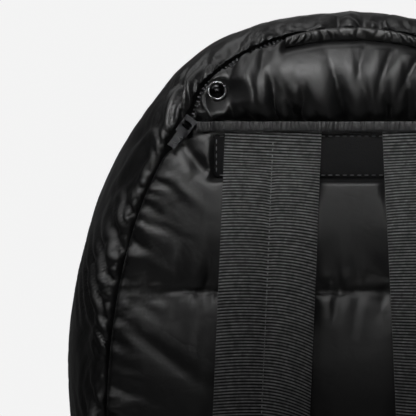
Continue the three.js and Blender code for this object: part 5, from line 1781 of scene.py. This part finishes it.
@dataclass
class Zip:
    """Zip over the top of the back: two tapes, two rows of teeth, two sliders with pulls."""

    layout: Layout
    finishes: Finishes
    first: float = 10.5
    tooth_pitch: float = 2.5
    tooth: tuple[float, float, float] = (2.5, 1.5, 1.35)
    tape_deep: float = 1.9
    tape_thick: float = 1.1
    tape_half: float = 2.55

    def along_seam(self, run: np.ndarray, out: np.ndarray, deep: np.ndarray) -> Grid:
        """Points beside the zip's middle line.

        Args:
            run: sections counted on over the top.
            out: distance outward from the middle line.
            deep: distance in from the seam plane.

        Returns:
            The points.
        """
        form = self.layout.form
        side = np.where(run > form.top, -1, 1)
        at = np.where(run > form.top, 2 * form.top - run, run)
        edge = form.seam(at, side, out - deep)
        return np.stack([edge["x"], form.seam_y(at, Face.BACK) + deep, edge["z"]], -1)

    def tape(self) -> bpy.types.Object:
        """Woven tape that carries the teeth."""
        form = self.layout.form
        v, u = shares_grid(260, 8)
        run = lerp(self.first, 2 * form.top - self.first, v)
        out = self.tape_half * (2 * u - 1)
        near = self.along_seam(run, out, np.full_like(u, self.tape_deep))
        far = self.along_seam(run, out, np.full_like(u, self.tape_deep + self.tape_thick))
        return shell("zip_tape_cloth", near, far, self.finishes.tape)

    def teeth(self) -> bpy.types.Object:
        """Two rows of moulded teeth that mesh along the middle."""
        form, trim = self.layout.form, self.layout.trim
        fine = np.linspace(self.first + 0.02, 2 * form.top - self.first - 0.02, 1200)
        line = self.along_seam(fine, np.zeros_like(fine), np.full_like(fine, trim.teeth_deep + trim.teeth_thick / 2))
        length = np.concatenate([[0], np.cumsum(np.linalg.norm(np.diff(line, axis=0), axis=1))])
        count = int(length[-1] / self.tooth_pitch * 2)
        bm = bmesh.new()
        for k in range(count):
            run = np.interp((k + 0.5) * self.tooth_pitch / 2, length, fine)
            near = self.along_seam(np.array([run - 0.02, run + 0.02, run]), np.zeros(3),
                                   np.full(3, trim.teeth_deep + trim.teeth_thick / 2))
            ahead = Vector(near[1] - near[0]).normalized()
            outer = self.along_seam(np.array([run]), np.array([1.0]), np.array([trim.teeth_deep + trim.teeth_thick / 2]))
            across = (Vector(outer[0]) - Vector(near[2])).normalized()
            up = ahead.cross(across).normalized()
            turn = Matrix((across, ahead, up)).transposed().to_4x4()
            shift = 0.75 if k % 2 else -0.75
            wide, thick, long = self.tooth
            place = Matrix.Translation(Vector(near[2]) + across * shift) @ turn @ Matrix.Diagonal((wide, long, thick, 1))
            made = bmesh.ops.create_cube(bm, size=1.0, matrix=Matrix.Scale(MM, 4) @ place)["verts"]
            edges = list({e for v in made for e in v.link_edges})
            bmesh.ops.bevel(bm, geom=edges, offset=0.00028, offset_type="OFFSET", segments=1, profile=0.5,
                            affect="EDGES", material=-1)
        bmesh.ops.recalc_face_normals(bm, faces=bm.faces[:])
        return finished("moulded_teeth", bm, self.finishes.teeth)

    def build(self, nodes: dict[str, bpy.types.Object]) -> None:
        """Builds the tape and teeth, and dresses the sliders and pulls that CAD made.

        Args:
            nodes: the CAD nodes by name.
        """
        for piece, node, slot in ((self.tape(), "zip_tape", "zip_tape"), (self.teeth(), "zip_teeth", "zip_teeth")):
            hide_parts(node)
            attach(piece, "bag")
            LOG.info("%s: %d faces", piece.name, len(piece.data.polygons))
        for side in Side:
            for name in ("zip_slider", "zip_pull"):
                node = nodes[f"{name}_{side.word}"]
                node.data.materials.clear()
                node.data.materials.append(self.finishes.metal)


@dataclass
class Studio:
    """Pale floor, soft lights and the camera at the photograph's angle."""

    eye: tuple[float, float, float] = (-0.0806, -4.2, 0.2884)
    plane_y: float = -0.075
    frame_wide: float = 0.233
    floor_radius: float = 0.6
    backdrop: float = 0.90
    fill: float = 0.014

    def floor(self, material: bpy.types.Material) -> None:
        """Round pale floor under the bag."""
        bm = bmesh.new()
        bmesh.ops.create_circle(bm, cap_ends=True, segments=96, radius=self.floor_radius)
        floor = finished("floor", bm, material)

    def pale(self) -> bpy.types.Material:
        """Matt near-white floor paint."""
        material = bpy.data.materials.new("pale_floor")
        nodes, links, shader = node_tree(material)
        coord = nodes.new("ShaderNodeTexCoord")
        noise = nodes.new("ShaderNodeTexNoise")
        noise.inputs["Scale"].default_value = 3.0
        links.new(coord.outputs["Object"], noise.inputs["Vector"])
        tone = tone_by(nodes, links, noise.outputs["Fac"], (0.78, 0.78, 0.78), (0.82, 0.82, 0.82))
        links.new(tone, shader.inputs["Base Color"])
        shader.inputs["Roughness"].default_value = 0.85
        return material

    def world(self) -> None:
        """Plain surround: pale to the camera, dimmer as a light."""
        world = bpy.data.worlds.new("studio")
        bpy.context.scene.world = world
        world.use_nodes = True
        nodes, links = world.node_tree.nodes, world.node_tree.links
        path = nodes.new("ShaderNodeLightPath")
        seen = nodes["Background"]
        seen.inputs["Color"].default_value = (self.backdrop, self.backdrop, self.backdrop, 1)
        cast = nodes.new("ShaderNodeBackground")
        cast.inputs["Color"].default_value = (1, 1, 1, 1)
        cast.inputs["Strength"].default_value = self.fill
        mixed = nodes.new("ShaderNodeMixShader")
        links.new(path.outputs["Is Camera Ray"], mixed.inputs["Fac"])
        links.new(cast.outputs["Background"], mixed.inputs[1])
        links.new(seen.outputs["Background"], mixed.inputs[2])
        links.new(mixed.outputs["Shader"], nodes["World Output"].inputs["Surface"])

    def light(self, name: str, place: tuple[float, float, float], size: tuple[float, float], power: float,
              aim: float = 0.2, spread: float = 180.0) -> None:
        """Large soft light that faces the bag.

        Args:
            name: the light's name.
            place: where it hangs, in metres.
            size: width and height of its panel.
            power: watts.
            aim: height that it faces on the bag's middle line.
            spread: angle of its beam in degrees.
        """
        data = bpy.data.lights.new(name, "AREA")
        data.shape = "RECTANGLE"
        data.size, data.size_y = size
        data.energy = power
        data.spread = math.radians(spread)
        lamp = bpy.data.objects.new(name, data)
        lamp.location = place
        lamp.rotation_euler = (Vector((0, 0, aim)) - Vector(place)).to_track_quat("-Z", "Y").to_euler()
        bpy.context.scene.collection.objects.link(lamp)

    def camera(self) -> None:
        """Camera level with the middle of the photograph, far off with a long lens."""
        data = bpy.data.cameras.new("camera")
        data.sensor_fit = "HORIZONTAL"
        data.sensor_width = 36.0
        data.lens = 36.0 * abs(self.eye[1] - self.plane_y) / self.frame_wide
        data.clip_end = 20.0
        camera = bpy.data.objects.new("camera", data)
        camera.location = self.eye
        camera.rotation_euler = (math.pi / 2, 0, 0)
        bpy.context.scene.collection.objects.link(camera)
        bpy.context.scene.camera = camera

    def build(self) -> None:
        """Sets up the whole studio."""
        self.floor(self.pale())
        self.world()
        self.light("front_light", (0.1, -2.0, 0.75), (1.2, 0.5), 0.9)
        self.light("high_light", (-0.1, -0.72, 1.12), (0.9, 0.25), 0.95, 0.44, 27.0)
        self.light("yoke_light", (0.0, -2.0, 0.62), (0.6, 0.3), 0.1, 0.4, 7.0)
        self.light("left_light", (-1.2, -0.9, 1.3), (0.8, 0.8), 4.0)
        self.light("top_light", (-0.4, 0.3, 1.5), (1.1, 0.8), 4.0)
        self.light("back_light", (0.5, 2.4, 0.75), (1.5, 1.0), 1.4)
        self.camera()
        bpy.context.scene.view_settings.view_transform = "Standard"


def main() -> None:
    """Builds the bag's looks round its CAD frame, one sub-assembly after another."""
    logging.basicConfig(level=logging.INFO, format="%(name)s: %(message)s")
    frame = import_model()
    snap_face = float(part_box("snap_rim_left")[1].y) / MM
    form, trim = BagForm(), Trim(snap_face=snap_face)
    layout = Layout(form, trim)
    Studio().build()
    finishes = Finishes()
    PaddedBody(form, layout, finishes).build()
    LeatherPatch(layout, finishes).build()
    GatheredStrip(layout, finishes).build()
    CarryHandle(layout, finishes).build()
    for side in Side:
        ShoulderStrap(side, layout, finishes).build()
        Snap(side, layout, finishes).build()
    Zip(layout, finishes).build(frame["nodes"])


if __name__ == "__main__":
    main()
